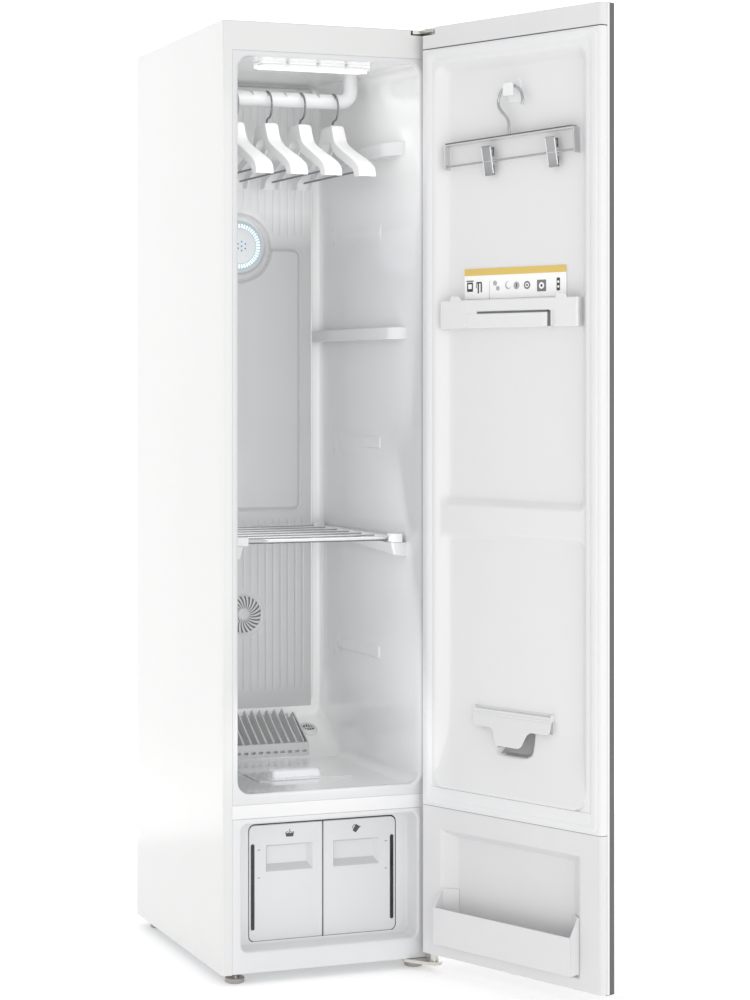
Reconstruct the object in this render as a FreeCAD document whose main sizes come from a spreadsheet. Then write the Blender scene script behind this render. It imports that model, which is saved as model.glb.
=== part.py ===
import FreeCAD, Part
import math
import os
import re
import Sketcher

# Clothes care steam cabinet: a tall, narrow cabinet with a hinged door, a shaking hanger
# rail, a pull-out rack, two water tanks and a steam and heat unit in its base.
# Lengths are millimetres.  Working axes: X to the right, Y to the rear with the cabinet's
# front plane at 0, Z up from the floor.  The finished pieces are then shifted so that the
# origin lies at the middle of the footprint, with the door standing open.

V = FreeCAD.Vector
doc = FreeCAD.newDocument("SteamCabinet")

# ------------------------------------------------------------------ driving dimensions
DIMS = [
    ("cabW", 445.0, "cabinet width"),
    ("cabD", 545.0, "cabinet depth, front plane to rear panel"),
    ("cabTop", 1845.0, "top of the casing above the floor"),
    ("footH", 20.0, "underside of the casing above the floor"),
    ("skin", 1.2, "sheet steel thickness"),
    ("flangeW", 19.0, "front return flange of the casing"),
    ("headZ", 1789.0, "lower edge of the header panel"),
    ("openHalf", 190.0, "half width of the cavity opening"),
    ("openLow", 363.5, "lower edge of the cavity opening"),
    ("openHigh", 1778.5, "upper edge of the cavity opening"),
    ("openRad", 25.0, "corner radius of the cavity opening"),
    ("faceHalf", 203.2, "half width of the front face pieces"),
    ("barLow", 317.0, "lower edge of the cross bar"),
    ("barHigh", 343.0, "upper edge of the cross bar"),
    ("wallT", 2.5, "moulded wall thickness"),
    ("backHalf", 179.5, "half width of the cavity at its rear wall"),
    ("cavD", 500.0, "cavity depth"),
    ("floorZ", 361.0, "cavity floor height"),
    ("rampY", 375.0, "where the floor ramp starts"),
    ("rampZ", 430.0, "ramp height at the rear wall"),
    ("ceilFront", 1779.0, "ceiling height at the front"),
    ("ceilBack", 1792.0, "ceiling height at the rear"),
    ("recHalf", 184.0, "half width of the tank recess"),
    ("recLow", 62.0, "lower edge of the tank recess"),
    ("recHigh", 306.0, "upper edge of the tank recess"),
    ("recDeep", 40.0, "depth of the tank recess"),
    ("bayHalf", 155.5, "half width of the tank bay"),
    ("bayLow", 69.0, "floor of the tank bay"),
    ("bayHigh", 296.0, "roof of the tank bay"),
    ("bayEnd", 240.0, "rear of the tank bay"),
    ("railZ", 1730.0, "hanger rail axis height"),
    ("railY", 254.0, "hanger rail axis depth"),
    ("railR", 15.5, "hanger rail radius"),
    ("railLeg", 147.0, "hanger rail leg offset"),
    ("hangPitch", 72.5, "hanger spacing"),
    ("outletZ", 1444.0, "air outlet height"),
    ("outletR", 51.0, "air outlet radius"),
    ("outletX", -10.8, "air outlet, off the middle"),
    ("grilleZ", 655.0, "lower air grille height"),
    ("grilleR", 41.0, "lower air grille radius"),
    ("coverY", 494.0, "front of the rear duct cover"),
    ("coverHalf", 156.5, "half width of the rear duct cover"),
    ("shelfZ", 834.0, "underside of the rack"),
    ("pivotX", 207.5, "door pivot, across"),
    ("pivotY", -26.2, "door pivot, depth"),
    ("pinR", 5.0, "hinge pin radius"),
    ("pinGap", 0.05, "running clearance of the hinge pins"),
    ("doorHalf", 222.5, "half width of the door"),
    ("doorLow", 36.0, "lower edge of the door"),
    ("doorHigh", 1845.0, "upper edge of the door"),
    ("doorIn", -5.0, "inner face of the closed door"),
    ("doorMid", -20.0, "joint between door liner and door frame"),
    ("doorOut", -40.0, "outer face of the closed door"),
    ("doorAngle", 113.0, "door opening at rest, degrees"),
    ("panelHalf", 187.0, "half width of the door panel recess"),
    ("panelLow", 366.0, "lower edge of the door panel recess"),
    ("panelHigh", 1773.0, "upper edge of the door panel recess"),
    ("panelDeep", 20.0, "depth of the door panel recess"),
    ("seamZ", 327.5, "seam between the door's liners"),
    ("capZ", 1804.0, "lower edge of the door cap"),
    ("notchX", 186.0, "inner end of the hinge notch"),
    ("notchZ", 1830.0, "lower edge of the hinge notch"),
    ("pocketHalf", 172.5, "half width of the lower door recess"),
    ("binHalf", 168.5, "half width of the door bin"),
    ("binFront", 20.0, "front of the door bin, door closed"),
    ("footR", 19.0, "foot radius"),
    ("footX", 188.0, "foot offset across"),
    ("footY", 28.0, "front foot depth"),
    ("offX", 82.86, "middle of the footprint, across"),
    ("offY", 58.82, "middle of the footprint, depth"),
    ("tilt", 2.1, "lean of the clip hanger, degrees"),
]
sheet = doc.addObject("Spreadsheet::Sheet", "Dims")
for row, (alias, value, note) in enumerate(DIMS, start=1):
    sheet.set("A%d" % row, alias)
    sheet.set("B%d" % row, str(value))
    sheet.set("C%d" % row, note)
    sheet.setAlias("B%d" % row, alias)
doc.recompute()
WORDS = re.compile(r"\b(" + "|".join(sorted((d[0] for d in DIMS), key=len, reverse=True)) + r")\b")


def ex(text):
    return WORDS.sub(r"Dims.\1", str(text))


def val(text):
    return float(sheet.evalExpression(ex(text)))


# ------------------------------------------------------------------ small helpers
def box(name, x, y, z, l, w, h):
    o = doc.addObject("Part::Box", name)
    for prop, e in (("Placement.Base.x", x), ("Placement.Base.y", y), ("Placement.Base.z", z),
                    ("Length", l), ("Width", w), ("Height", h)):
        o.setExpression(prop, ex(e))
    return o


def span(name, x0, x1, y0, y1, z0, z1):
    return box(name, x0, y0, z0, "(%s)-(%s)" % (x1, x0), "(%s)-(%s)" % (y1, y0), "(%s)-(%s)" % (z1, z0))


def cyl(name, x, y, z, r, h, axis="Z"):
    o = doc.addObject("Part::Cylinder", name)
    turn = {"Z": FreeCAD.Rotation(), "Y": FreeCAD.Rotation(V(1, 0, 0), -90), "X": FreeCAD.Rotation(V(0, 1, 0), 90)}[axis]
    o.Placement = FreeCAD.Placement(V(0, 0, 0), turn)
    for prop, e in (("Placement.Base.x", x), ("Placement.Base.y", y), ("Placement.Base.z", z),
                    ("Radius", r), ("Height", h)):
        o.setExpression(prop, ex(e))
    return o


def wedge(name, y0, y1, near, far):
    # a frustum along Y: near and far are (x0, x1, z0, z1) at y0 and at y1
    o = doc.addObject("Part::Wedge", name)
    for prop, e in (("Ymin", y0), ("Ymax", y1), ("Xmin", near[0]), ("Xmax", near[1]), ("Zmin", near[2]), ("Zmax", near[3]),
                    ("X2min", far[0]), ("X2max", far[1]), ("Z2min", far[2]), ("Z2max", far[3])):
        o.setExpression(prop, ex(e))
    return o


def fuse(name, parts):
    o = doc.addObject("Part::MultiFuse", name)
    o.Shapes = parts
    return o


def cut(name, base, tools):
    if isinstance(tools, list):
        tools = tools[0] if len(tools) == 1 else fuse(name + "_tools", tools)
    o = doc.addObject("Part::Cut", name)
    o.Base = base
    o.Tool = tools
    return o


def common(name, parts):
    o = doc.addObject("Part::MultiCommon", name)
    o.Shapes = parts
    return o


def rounded(name, base, radius, pick):
    doc.recompute()
    r = val(radius)
    o = doc.addObject("Part::Fillet", name)
    o.Base = base
    o.Edges = [(i + 1, r, r) for i, e in enumerate(base.Shape.Edges) if pick(e)]
    return o


def along(e, axis):
    a, b = e.Vertexes[0].Point, e.Vertexes[-1].Point
    d = b.sub(a)
    return len(e.Vertexes) == 2 and abs(abs(d.dot(axis)) - d.Length) < 1e-4 * max(1.0, d.Length)


def poly(label, plane, pts, off, depth):
    # a padded closed outline; every corner is held by a driven pair of distances
    body = doc.addObject("PartDesign::Body", label)
    base = [f for f in body.Origin.OriginFeatures if f.Role == plane][0]
    sk = body.newObject("Sketcher::SketchObject", label + "_outline")
    sk.AttachmentSupport = [(base, "")]
    sk.MapMode = "FlatFace"
    sk.setExpression("AttachmentOffset.Base.z", ex(off))
    at = [(val(x), val(y)) for x, y in pts]
    n = len(at)
    for i in range(n):
        a, b = at[i], at[(i + 1) % n]
        sk.addGeometry(Part.LineSegment(V(a[0], a[1], 0), V(b[0], b[1], 0)), False)
    for i in range(n):
        sk.addConstraint(Sketcher.Constraint("Coincident", i, 2, (i + 1) % n, 1))
    for i in range(n):
        for k, kind in enumerate(("DistanceX", "DistanceY")):
            c = sk.addConstraint(Sketcher.Constraint(kind, -1, 1, i, 1, at[i][k]))
            sk.setExpression("Constraints[%d]" % c, ex(pts[i][k]))
    pad = body.newObject("PartDesign::Pad", label + "_pad")
    pad.Profile = sk
    pad.setExpression("Length", ex(depth))
    body.Tip = pad
    return body


def plate(label, x0, x1, y0, y1, z0, z1):
    # an upright plate padded from its front outline
    return poly(label, "XZ_Plane", [(x0, z0), (x1, z0), (x1, z1), (x0, z1)], "-(%s)" % y1, "(%s)-(%s)" % (y1, y0))


def side_prism(label, pts, x0, x1):
    return poly(label, "YZ_Plane", pts, x0, "(%s)-(%s)" % (x1, x0))


def flat_prism(label, pts, z0, z1):
    return poly(label, "XY_Plane", pts, z0, "(%s)-(%s)" % (z1, z0))


def soften(body, radius, pick):
    # a PartDesign fillet on the tip of a body
    doc.recompute()
    tip = body.Tip
    names = ["Edge%d" % (i + 1) for i, e in enumerate(tip.Shape.Edges) if pick(e)]
    f = body.newObject("PartDesign::Fillet", body.Name + "_round")
    f.Base = (tip, names)
    f.setExpression("Radius", ex(radius))
    body.Tip = f
    return body


def made(name, shape):
    o = doc.addObject("Part::Feature", name)
    o.Shape = shape
    return o


AX, AY, AZ = V(1, 0, 0), V(0, 1, 0), V(0, 0, 1)
NODES = []          # (node name, object, group)


def node(name, obj, group="cabinet", extra=None):
    obj.Label = name
    NODES.append((name, obj, group, extra))
    return obj


# ================================================================== casing and frame
side_l = span("casing_side_l", "-cabW/2", "-cabW/2+skin", 0, "cabD", "footH", "cabTop")
side_r = span("casing_side_r", "cabW/2-skin", "cabW/2", 0, "cabD", "footH", "cabTop")
top_s = span("casing_top", "-cabW/2+skin", "cabW/2-skin", 0, "cabD", "cabTop-skin", "cabTop")
fl_l = span("casing_flange_l", "-cabW/2+skin", "-cabW/2+flangeW", 0, "skin", "footH", "headZ")
fl_r = span("casing_flange_r", "cabW/2-flangeW", "cabW/2-skin", 0, "skin", "footH", "headZ")
rf_l = span("casing_rear_l", "-cabW/2+skin", "-cabW/2+14", "cabD-skin", "cabD", "footH", "cabTop-skin")
rf_r = span("casing_rear_r", "cabW/2-14", "cabW/2-skin", "cabD-skin", "cabD", "footH", "cabTop-skin")
casing = doc.addObject("Part::Compound", "outer_casing_body")
casing.Links = [side_l, side_r, top_s, fl_l, fl_r, rf_l, rf_r]
node("outer_casing", casing)

head_face = plate("header_face", "-cabW/2+skin+0.2", "cabW/2-skin-0.2", 0, 1.6, "headZ", "cabTop-skin-0.2")
head_lip = span("header_lip", "-cabW/2+skin+0.2", "cabW/2-skin-0.2", 1.6, 16, "headZ", "headZ+1.6")
head_notch = span("header_notch", "notchX-16", "cabW/2", -1, 20, 1834.5, 1850)
node("header_panel", cut("header_panel_body", fuse("header_blank", [head_face, head_lip]), head_notch))

bar_face = plate("cross_bar", "-faceHalf", "faceHalf", 0, 2.5, "barLow", "barHigh")
node("crossbar_trim", soften(bar_face, 0.8, lambda e: along(e, AX) and e.CenterOfMass.y < 0.1))

# base pan with cross members that carry the tank bay, and holes for the foot studs
pan = span("pan_floor", "-cabW/2+skin+0.3", "cabW/2-skin-0.3", 3, "cabD-4", "footH", "footH+2.5")
pan_l = span("pan_side_l", "-cabW/2+skin+0.3", "-cabW/2+skin+3.3", 3, "cabD-4", "footH", 60)
pan_r = span("pan_side_r", "cabW/2-skin-3.3", "cabW/2-skin-0.3", 3, "cabD-4", "footH", 60)
beam_a = span("pan_beam_a", -150, 150, 62, 82, "footH+2.5", "bayLow-2")
beam_b = span("pan_beam_b", -150, 150, 196, 216, "footH+2.5", "bayLow-2")
studs = [cyl("stud_hole_%d" % i, x, y, "footH-5", 4.05, 20) for i, (x, y) in enumerate(
    [("-footX", "footY"), ("footX", "footY"), ("-footX", "cabD-45"), ("footX", "cabD-45")])]
base = cut("base_frame_body", fuse("pan_blank", [pan, pan_l, pan_r, beam_a, beam_b]), studs)
node("base_frame", base)

back = plate("back_sheet", "-cabW/2+skin+0.3", "cabW/2-skin-0.3", "cabD-2.9", "cabD-1.4", "footH+0.5", "cabTop-skin-0.4")
inlet_hole = span("back_inlet_hole", -174, -126, "cabD-10", "cabD", 88, 122)
back_body = cut("back_panel_body", back, inlet_hole)
node("back_panel", back_body)

# ================================================================== tank bay front
bez = plate("bezel_face", "-faceHalf", "faceHalf", 0, "wallT", "footH+0.4", "barLow")
rec_o = span("recess_outer", "-recHalf-wallT", "recHalf+wallT", 0, "recDeep+wallT", "recLow-wallT", "recHigh+wallT")
bay_o = span("bay_outer", "-bayHalf-2", "bayHalf+2", "recDeep", "bayEnd+2", "bayLow-2", "bayHigh+2")
rec_i0 = span("recess_inner_block", "-recHalf", "recHalf", -1, "recDeep", "recLow", "recHigh")
rec_i = rounded("recess_inner", rec_i0, 14, lambda e: along(e, AY))
bay_i0 = span("bay_inner_block", "-bayHalf", "bayHalf", "recDeep-1", "bayEnd", "bayLow", "bayHigh")
bay_i = rounded("bay_inner", bay_i0, 13, lambda e: along(e, AY))
bez_all = cut("tank_bay_body", fuse("bezel_blank", [bez, rec_o, bay_o]), [rec_i, bay_i])
node("tank_bay_bezel", bez_all)

# ================================================================== cavity liner
def side_outline(g):
    k = "(rampZ-floorZ)/(cavD-rampY)"
    return [(-2 if g == 0 else 0, "floorZ-%s" % g), ("rampY+%s*0.25" % g, "floorZ-%s" % g), ("cavD+%s" % g, "rampZ-%s*0.7" % g),
            ("cavD+%s" % g, "ceilBack+%s" % g), (-2 if g == 0 else 0, "ceilFront+%s" % g)]


cav_side = side_prism("cavity_side", side_outline(0), "-openHalf-1", "openHalf+1")
cav_plan = flat_prism("cavity_plan", [("-openHalf", -2), ("openHalf", -2), ("backHalf", "cavD"), ("-backHalf", "cavD")], 340, 1810)
cav_sharp = common("cavity_sharp", [cav_side, cav_plan])


def liner_edges(e):
    if len(e.Vertexes) < 2:
        return False
    a, b = e.Vertexes[0].Point, e.Vertexes[-1].Point
    onside = abs(abs(a.x) - abs(b.x)) < 25 and abs(a.x) > 150 and abs(b.x) > 150 and a.x * b.x > 0
    return onside and e.Length > 60


cav_in = rounded("cavity_inner", cav_sharp, 22, liner_edges)
out_side = side_prism("shell_side", side_outline("wallT"), "-openHalf-6", "openHalf+6")
out_plan = flat_prism("shell_plan", [("-openHalf-wallT", 0), ("openHalf+wallT", 0), ("backHalf+wallT", "cavD+wallT"),
                                     ("-backHalf-wallT", "cavD+wallT")], 340, 1810)
out_sharp = common("shell_sharp", [out_side, out_plan])
out_round = rounded("shell_outer", out_sharp, 24.5, liner_edges)
face = plate("liner_face", "-faceHalf", "faceHalf", 0, "wallT", "barHigh", "headZ")


def ledge(tag, z0, z1, sign):
    pts = [(189.6, 62), (168, 112), (157.5, 501), (181, 501), (191, 66)]
    if sign < 0:
        pts = [(-x, y) for x, y in reversed(pts)]
    return flat_prism("ledge_%s" % tag, pts, z0, z1)


ledges = [ledge("upper_r", 1609, 1634, 1), ledge("upper_l", 1609, 1634, -1), ledge("mid_r", 1239, 1263, 1), ledge("mid_l", 1239, 1263, -1),
          ledge("rack_r", 806, "shelfZ-0.1", 1), ledge("rack_l", 806, "shelfZ-0.1", -1)]
guides = [span("guide_l", -118, -96, "railY-18", "railY+18", "ceilFront+8", 1799.9), span("guide_r", 96, 118, "railY-18", "railY+18", "ceilFront+8", 1799.9)]
lip_open0 = span("face_opening_block", "-openHalf", "openHalf", -1, "wallT+0.5", "openLow", "openHigh")
lip_open = rounded("face_opening", lip_open0, "openRad", lambda e: along(e, AY))
slots = [span("rail_slot_l", "-railLeg-26", "-railLeg+26", "railY-19", "railY+19", 1770, 1799), span("rail_slot_r", "railLeg-26", "railLeg+26", "railY-19", "railY+19", 1770, 1799)]
filter_hole = span("filter_hole", -93, 99, 135, 283, "floorZ-10", "floorZ+1")
duct_a = cyl("duct_hole_a", "outletX", "cavD-3", "outletZ", 46, 12, "Y")
duct_b = cyl("duct_hole_b", 0, "cavD-3", "grilleZ", 36, 12, "Y")
hollow_back = span("cavity_trim", "-openHalf-20", "openHalf+20", "wallT", "cavD-2", 300, 1810)
shell_solid = fuse("liner_solid", [out_round, face])
shell_open = cut("liner_open", shell_solid, [common("cavity_behind", [cav_in, span("cavity_zone", "-openHalf-5", "openHalf+5", "wallT", "cavD+1", 330, 1815)]), lip_open])
liner = cut("cavity_liner_body", fuse("liner_with_ledges", [shell_open] + ledges + guides), slots + [filter_hole, duct_a, duct_b])
node("cavity_liner", liner)

# ================================================================== rear wall pieces
cover0 = plate("cover_blank", "-coverHalf", "coverHalf", "coverY", "cavD-0.2", 446, 1784)
pan_cut0 = span("cover_recess", -129, 129, "coverY-1", "coverY+2.2", 878, 1440)
boss_keep = cyl("cover_boss", "outletX", "coverY-2", "outletZ", 76, 20, "Y")
pan_cut = cut("cover_recess_cut", pan_cut0, boss_keep)
ch_a = cyl("cover_duct_a", "outletX", "coverY-1", "outletZ", 46, 12, "Y")
ch_b = cyl("cover_duct_b", 0, "coverY-1", "grilleZ", 36, 12, "Y")
node("rear_duct_cover", cut("rear_duct_cover_body", cover0, [pan_cut, ch_a, ch_b]))

disc = cyl("outlet_disc", "outletX", "coverY-6", "outletZ", "outletR", 6, "Y")
stub = cyl("outlet_stub", "outletX", "coverY", "outletZ", 45.4, 6, "Y")
groove_o = cyl("outlet_groove_o", "outletX", "coverY-7", "outletZ", 48.5, 3, "Y")
groove_i = cyl("outlet_groove_i", "outletX", "coverY-8", "outletZ", 41.5, 5, "Y")
ring_groove = cut("outlet_groove", groove_o, groove_i)
ports = [cyl("outlet_port_0", "outletX", "coverY-8", "outletZ", 2.2, 20, "Y")] + [
    cyl("outlet_port_%d" % (i + 1), "outletX+(%.4f)" % (9.0 * math.cos(math.radians(60 * i + 30))), "coverY-8",
        "outletZ+(%.4f)" % (9.0 * math.sin(math.radians(60 * i + 30))), 2.2, 20, "Y") for i in range(6)]
node("air_outlet", cut("air_outlet_body", fuse("outlet_blank", [disc, stub]), [ring_groove] + ports))

# lower grille: a padded disc with one slot pocketed and repeated round the hub
grille = doc.addObject("PartDesign::Body", "grille_disc")
g_plane = [f for f in grille.Origin.OriginFeatures if f.Role == "XZ_Plane"][0]
g_sk = grille.newObject("Sketcher::SketchObject", "grille_outline")
g_sk.AttachmentSupport = [(g_plane, "")]
g_sk.MapMode = "FlatFace"
g_sk.addGeometry(Part.Circle(V(0, 0, 0), V(0, 0, 1), val("grilleR")), False)
g_sk.addConstraint(Sketcher.Constraint("Coincident", 0, 3, -1, 1))
gc = g_sk.addConstraint(Sketcher.Constraint("Radius", 0, val("grilleR")))
g_sk.setExpression("Constraints[%d]" % gc, ex("grilleR"))
g_pad = grille.newObject("PartDesign::Pad", "grille_pad")
g_pad.Profile = g_sk
g_pad.Length = 3.0
grille.Tip = g_pad
s_sk = grille.newObject("Sketcher::SketchObject", "grille_slot")
s_sk.AttachmentSupport = [(g_plane, "")]
s_sk.MapMode = "FlatFace"
slot_at = [(-1.6, 12.0), (1.6, 12.0), (2.4, 35.0), (-2.4, 35.0)]
for i in range(4):
    a, b = slot_at[i], slot_at[(i + 1) % 4]
    s_sk.addGeometry(Part.LineSegment(V(a[0], a[1], 0), V(b[0], b[1], 0)), False)
for i in range(4):
    s_sk.addConstraint(Sketcher.Constraint("Coincident", i, 2, (i + 1) % 4, 1))
    s_sk.addConstraint(Sketcher.Constraint("DistanceX", -1, 1, i, 1, slot_at[i][0]))
    s_sk.addConstraint(Sketcher.Constraint("DistanceY", -1, 1, i, 1, slot_at[i][1]))
g_cut = grille.newObject("PartDesign::Pocket", "grille_pocket")
g_cut.Profile = s_sk
g_cut.Type = 1
g_cut.Midplane = True
doc.recompute()
g_pat = grille.newObject("PartDesign::PolarPattern", "grille_pattern")
g_pat.Originals = [g_cut]
g_pat.Axis = (g_sk, ["N_Axis"])
g_pat.Angle = 360
g_pat.Occurrences = 20
grille.Tip = g_pat
grille.setExpression("Placement.Base.y", ex("coverY"))
grille.setExpression("Placement.Base.z", ex("grilleZ"))
doc.recompute()
if not grille.Shape.Volume < 0.9 * math.pi * val("grilleR") ** 2 * 3.0:
    raise RuntimeError("the grille slots cut nothing")
node("fan_grille", grille)

lamp = span("lamp_block", -126, 126, 56, 124, 1773.8, 1780.4)
node("lamp_housing", rounded("lamp_housing_body", lamp, 20, lambda e: along(e, AZ)))
lens = span("lens_block", -122, 122, 60, 120, 1769.5, 1773.8)
node("lamp_lens", rounded("lamp_lens_body", lens, 24, lambda e: along(e, AZ)))

# ================================================================== steam tray on the ramp
RAMP = "(rampZ-floorZ)/(cavD-rampY)"


def ramp(y, up=0.0):
    return "floorZ+(%s-rampY)*%s+%s" % (y, RAMP, up)


tray_o = side_prism("tray_outer", [(385, ramp(385, 0.6)), (488, ramp(488, 0.6)), (488, 447), (478, 447), (385, 393)], -112, 108)
tray_i = side_prism("tray_inner", [(388, 340), (485, 340), (485, 460), (388, 460)], -109, 105)
tray_holes = [span("tray_hole_%02d" % i, 79 - 16.4 * i, 88 - 16.4 * i, 380, 390, 371.5, 376.5) for i in range(12)]
node("steam_tray", cut("steam_tray_body", cut("tray_ring", tray_o, tray_i), tray_holes))
slats = []
for i in range(13):
    x = 99 - 17 * i
    slats.append(side_prism("slat_%02d" % i, [(388.5, ramp(388.5, 0.8)), (484, ramp(484, 0.8)), (484, 440), (478, 448), (388.5, 391)], x - 1, x + 1))
node("steam_slats", fuse("steam_slats_body", slats))
slope = math.degrees(math.atan2(val("rampZ-floorZ"), val("cavD-rampY")))
noz_at = V(134, 457, val(ramp(457)))
noz_dir = FreeCAD.Rotation(V(1, 0, 0), slope).multVec(V(0, 0, 1))
noz = Part.makeCylinder(20.5, 4, noz_at, noz_dir).fuse(Part.makeCone(14.5, 12, 5, noz_at + noz_dir * 4, noz_dir))
for k in range(5):
    d = FreeCAD.Rotation(noz_dir, 72 * k + 20).multVec(V(1, 0, 0)) * 7.0
    noz = noz.cut(Part.makeCylinder(2.6, 14, noz_at + d - noz_dir * 1.0, noz_dir))
node("steam_nozzle", made("steam_nozzle_body", noz.removeSplitter()))

# lint filter: a lift-out cassette with a low grip bar on its cover
f_cover = span("filter_cover", -100, 106, 128, 290, "floorZ+0.2", "floorZ+1.8")
f_box = span("filter_box", -90, 96, 138, 280, 312, "floorZ+0.2")
f_void = span("filter_void", -87, 93, 141, 277, 315, "floorZ-3")
f_grip = rounded("filter_grip_round", span("filter_grip", -60, 44, 158, 196, "floorZ+1.8", "floorZ+15"), 5, lambda e: along(e, AZ))
node("lint_filter", fuse("lint_filter_body", [cut("filter_shell", fuse("filter_blank", [f_cover, f_box]), f_void), f_grip]))

# ================================================================== machine unit
comp = cyl("compressor_can", -120, 410, 46, 58, 150)
comp_top = made("compressor_dome", Part.makeSphere(90, V(-120, 410, 196 - 69.1), V(0, 0, 1), 49.9, 90, 360))
comp_base = span("compressor_feet", -190, -50, 370, 450, "footH+2.5", 46)
node("compressor", fuse("compressor_body", [comp, comp_top, comp_base]))
hx = span("exchanger_block", -25, 190, 262, 322, "footH+2.5", 300)
hx_pipe = cyl("exchanger_pipe", -55, 292, 120, 6, 30, "X")
node("heat_exchanger", fuse("heat_exchanger_body", [hx, hx_pipe]))
boiler = rounded("boiler_round", span("boiler_block", 20, 178, 380, 490, "footH+2.5", 130), 10, lambda e: along(e, AZ))
boiler_neck = cyl("boiler_neck", 132, 443, 129, 9, 30)
node("steam_generator", fuse("steam_generator_body", [boiler, boiler_neck]))
bh_o = cyl("blower_outer", 110, 395, 250, 78, 90, "Y")
bh_i = cyl("blower_inner", 110, 398, 250, 74, 84, "Y")
bh_eye = cyl("blower_eye", 110, 390, 250, 46, 20, "Y")
bh_leg = span("blower_leg", 60, 160, 420, 460, 130, 180)
bh_leg_cut = cut("blower_legs", bh_leg, cyl("blower_leg_cut", 110, 390, 250, 76, 100, "Y"))
neck_gap = cyl("blower_neck_gap", 132, 443, 128, 12, 60)
node("blower_housing", cut("blower_housing_cut", cut("blower_housing_body", fuse("blower_blank", [bh_o, bh_leg_cut]), [bh_i, bh_eye]), neck_gap))
wheel = Part.makeCylinder(60, 70, V(110, 404, 250), V(0, 1, 0)).cut(Part.makeCylinder(50, 64, V(110, 403, 250), V(0, 1, 0)))
wheel = wheel.fuse(Part.makeCylinder(9, 68, V(110, 405, 250), V(0, 1, 0)))
node("blower_wheel", made("blower_wheel_body", wheel))
pcb = span("board_sheet", -150, -50, 330, 470, 1797, 1799)
pcb_parts = [span("board_part_a", -140, -100, 345, 385, 1799, 1816), span("board_part_b", -90, -65, 400, 450, 1799, 1812)]
pcb_legs = [cyl("board_leg_%d" % i, x, y, "ceilFront+wallT+(ceilBack-ceilFront)*%s/cavD+0.05" % (y + 3), 3,
                "1797.0-(ceilFront+wallT+(ceilBack-ceilFront)*%s/cavD+0.05)" % (y + 3)) for i, (x, y) in enumerate([(-145, 335), (-55, 335), (-145, 465), (-55, 465)])]
node("control_board", fuse("control_board_body", [pcb] + pcb_parts + pcb_legs))
motor = cyl("motor_can", 0, "railY", 1823, 24, 16)
motor_plate = span("motor_plate", -40, 40, "railY-12", "railY+60", 1839, "cabTop-skin-0.1")
node("rail_motor", fuse("rail_motor_body", [motor, motor_plate]))
crank = Part.makeCylinder(14, 5.5, V(0, val("railY"), 1817)).fuse(Part.makeCylinder(3, 4, V(9, val("railY"), 1813)))
node("rail_crank", made("rail_crank_body", crank))
inlet = fuse("power_inlet_body", [span("inlet_box", -173, -127, "cabD-38", "cabD-2.9", 89, 121), span("inlet_flange", -178, -122, "cabD-1.4", "cabD", 84, 126),
                                  span("inlet_neck", -173, -127, "cabD-3", "cabD-1.2", 89, 121)])
pin_cut = span("inlet_socket", -163, -137, "cabD-16", "cabD+1", 97, 113)
node("power_inlet", cut("power_inlet_cut", inlet, pin_cut))

# ================================================================== hinges and feet
up_pts = [("notchX-12", 60), ("notchX-12", 0.5), ("notchX+2", -4), ("notchX+2", -27), ("pivotX-11", "pivotY-16"), ("pivotX+7", "pivotY-17"), ("pivotX+14.5", "pivotY-8"),
          ("pivotX+14.5", "pivotY+12"), ("pivotX+8", 2), ("pivotX+8", 60)]
hu = soften(flat_prism("hinge_up_plate", up_pts, 1837, "cabTop-skin"), 5, lambda e: along(e, AZ) and e.CenterOfMass.y < -1)
hu_pin = cyl("hinge_up_pin", "pivotX", "pivotY", 1800, "pinR", 37.5)
node("hinge_upper", fuse("hinge_upper_body", [hu, hu_pin]))
lo_pts = [(158, 62), (158, 4), ("pivotX-16", "pivotY-10"), ("pivotX-8", "pivotY-17"), ("pivotX+7", "pivotY-17"), ("pivotX+14.5", "pivotY-8"),
          ("pivotX+14.5", "pivotY+12"), (214, 4), (214, 62)]
hl = soften(flat_prism("hinge_low_plate", lo_pts, "footH-6", "footH"), 5, lambda e: along(e, AZ) and e.CenterOfMass.y < -1)
hl_pin = cyl("hinge_low_pin", "pivotX", "pivotY", "footH-0.5", "pinR", 37)
hl_ring = cyl("hinge_low_ring", "pivotX", "pivotY", "footH-0.5", 9, "doorLow-footH")
hl_hole = cyl("hinge_low_hole", "footX", "footY", 0, 5.0, 30)
node("hinge_lower", cut("hinge_lower_body", fuse("hinge_lower_blank", [hl, hl_pin, hl_ring]), hl_hole))


def foot_shape(x, y, top):
    disc_ = Part.makeCylinder(val("footR"), 10.5, V(x, y, 0))
    ed = [e for e in disc_.Edges if e.Closed]
    disc_ = disc_.makeChamfer(1.5, ed)
    return disc_.fuse(Part.makeCylinder(8.5, 2.5, V(x, y, 10.5))).fuse(Part.makeCylinder(4.0, top - 13, V(x, y, 13)))


node("front_foot_left", made("front_foot_left_body", foot_shape(-val("footX"), val("footY"), 44)))
node("front_foot_right", made("front_foot_right_body", foot_shape(val("footX"), val("footY"), 44)))
rear_feet = foot_shape(-val("footX"), val("cabD-45"), 44)
node("rear_feet", made("rear_feet_body", Part.makeCompound([rear_feet, foot_shape(val("footX"), val("cabD-45"), 44)])))

# ================================================================== hanger rail
def tube_path(pts, radius):
    edges, last = [], pts[0]
    for i in range(1, len(pts) - 1):
        a, b, c = pts[i - 1], pts[i], pts[i + 1]
        u, w = a.sub(b).normalize(), c.sub(b).normalize()
        half = u.getAngle(w) / 2.0
        back_off = radius / math.tan(half)
        p, q = b + u * back_off, b + w * back_off
        mid_dir = (u + w).normalize()
        centre = b + mid_dir * (radius / math.sin(half))
        m = centre - mid_dir * radius
        edges.append(Part.LineSegment(last, p).toShape())
        edges.append(Part.Arc(p, m, q).toShape())
        last = q
    edges.append(Part.LineSegment(last, pts[-1]).toShape())
    return Part.Wire(edges)


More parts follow.
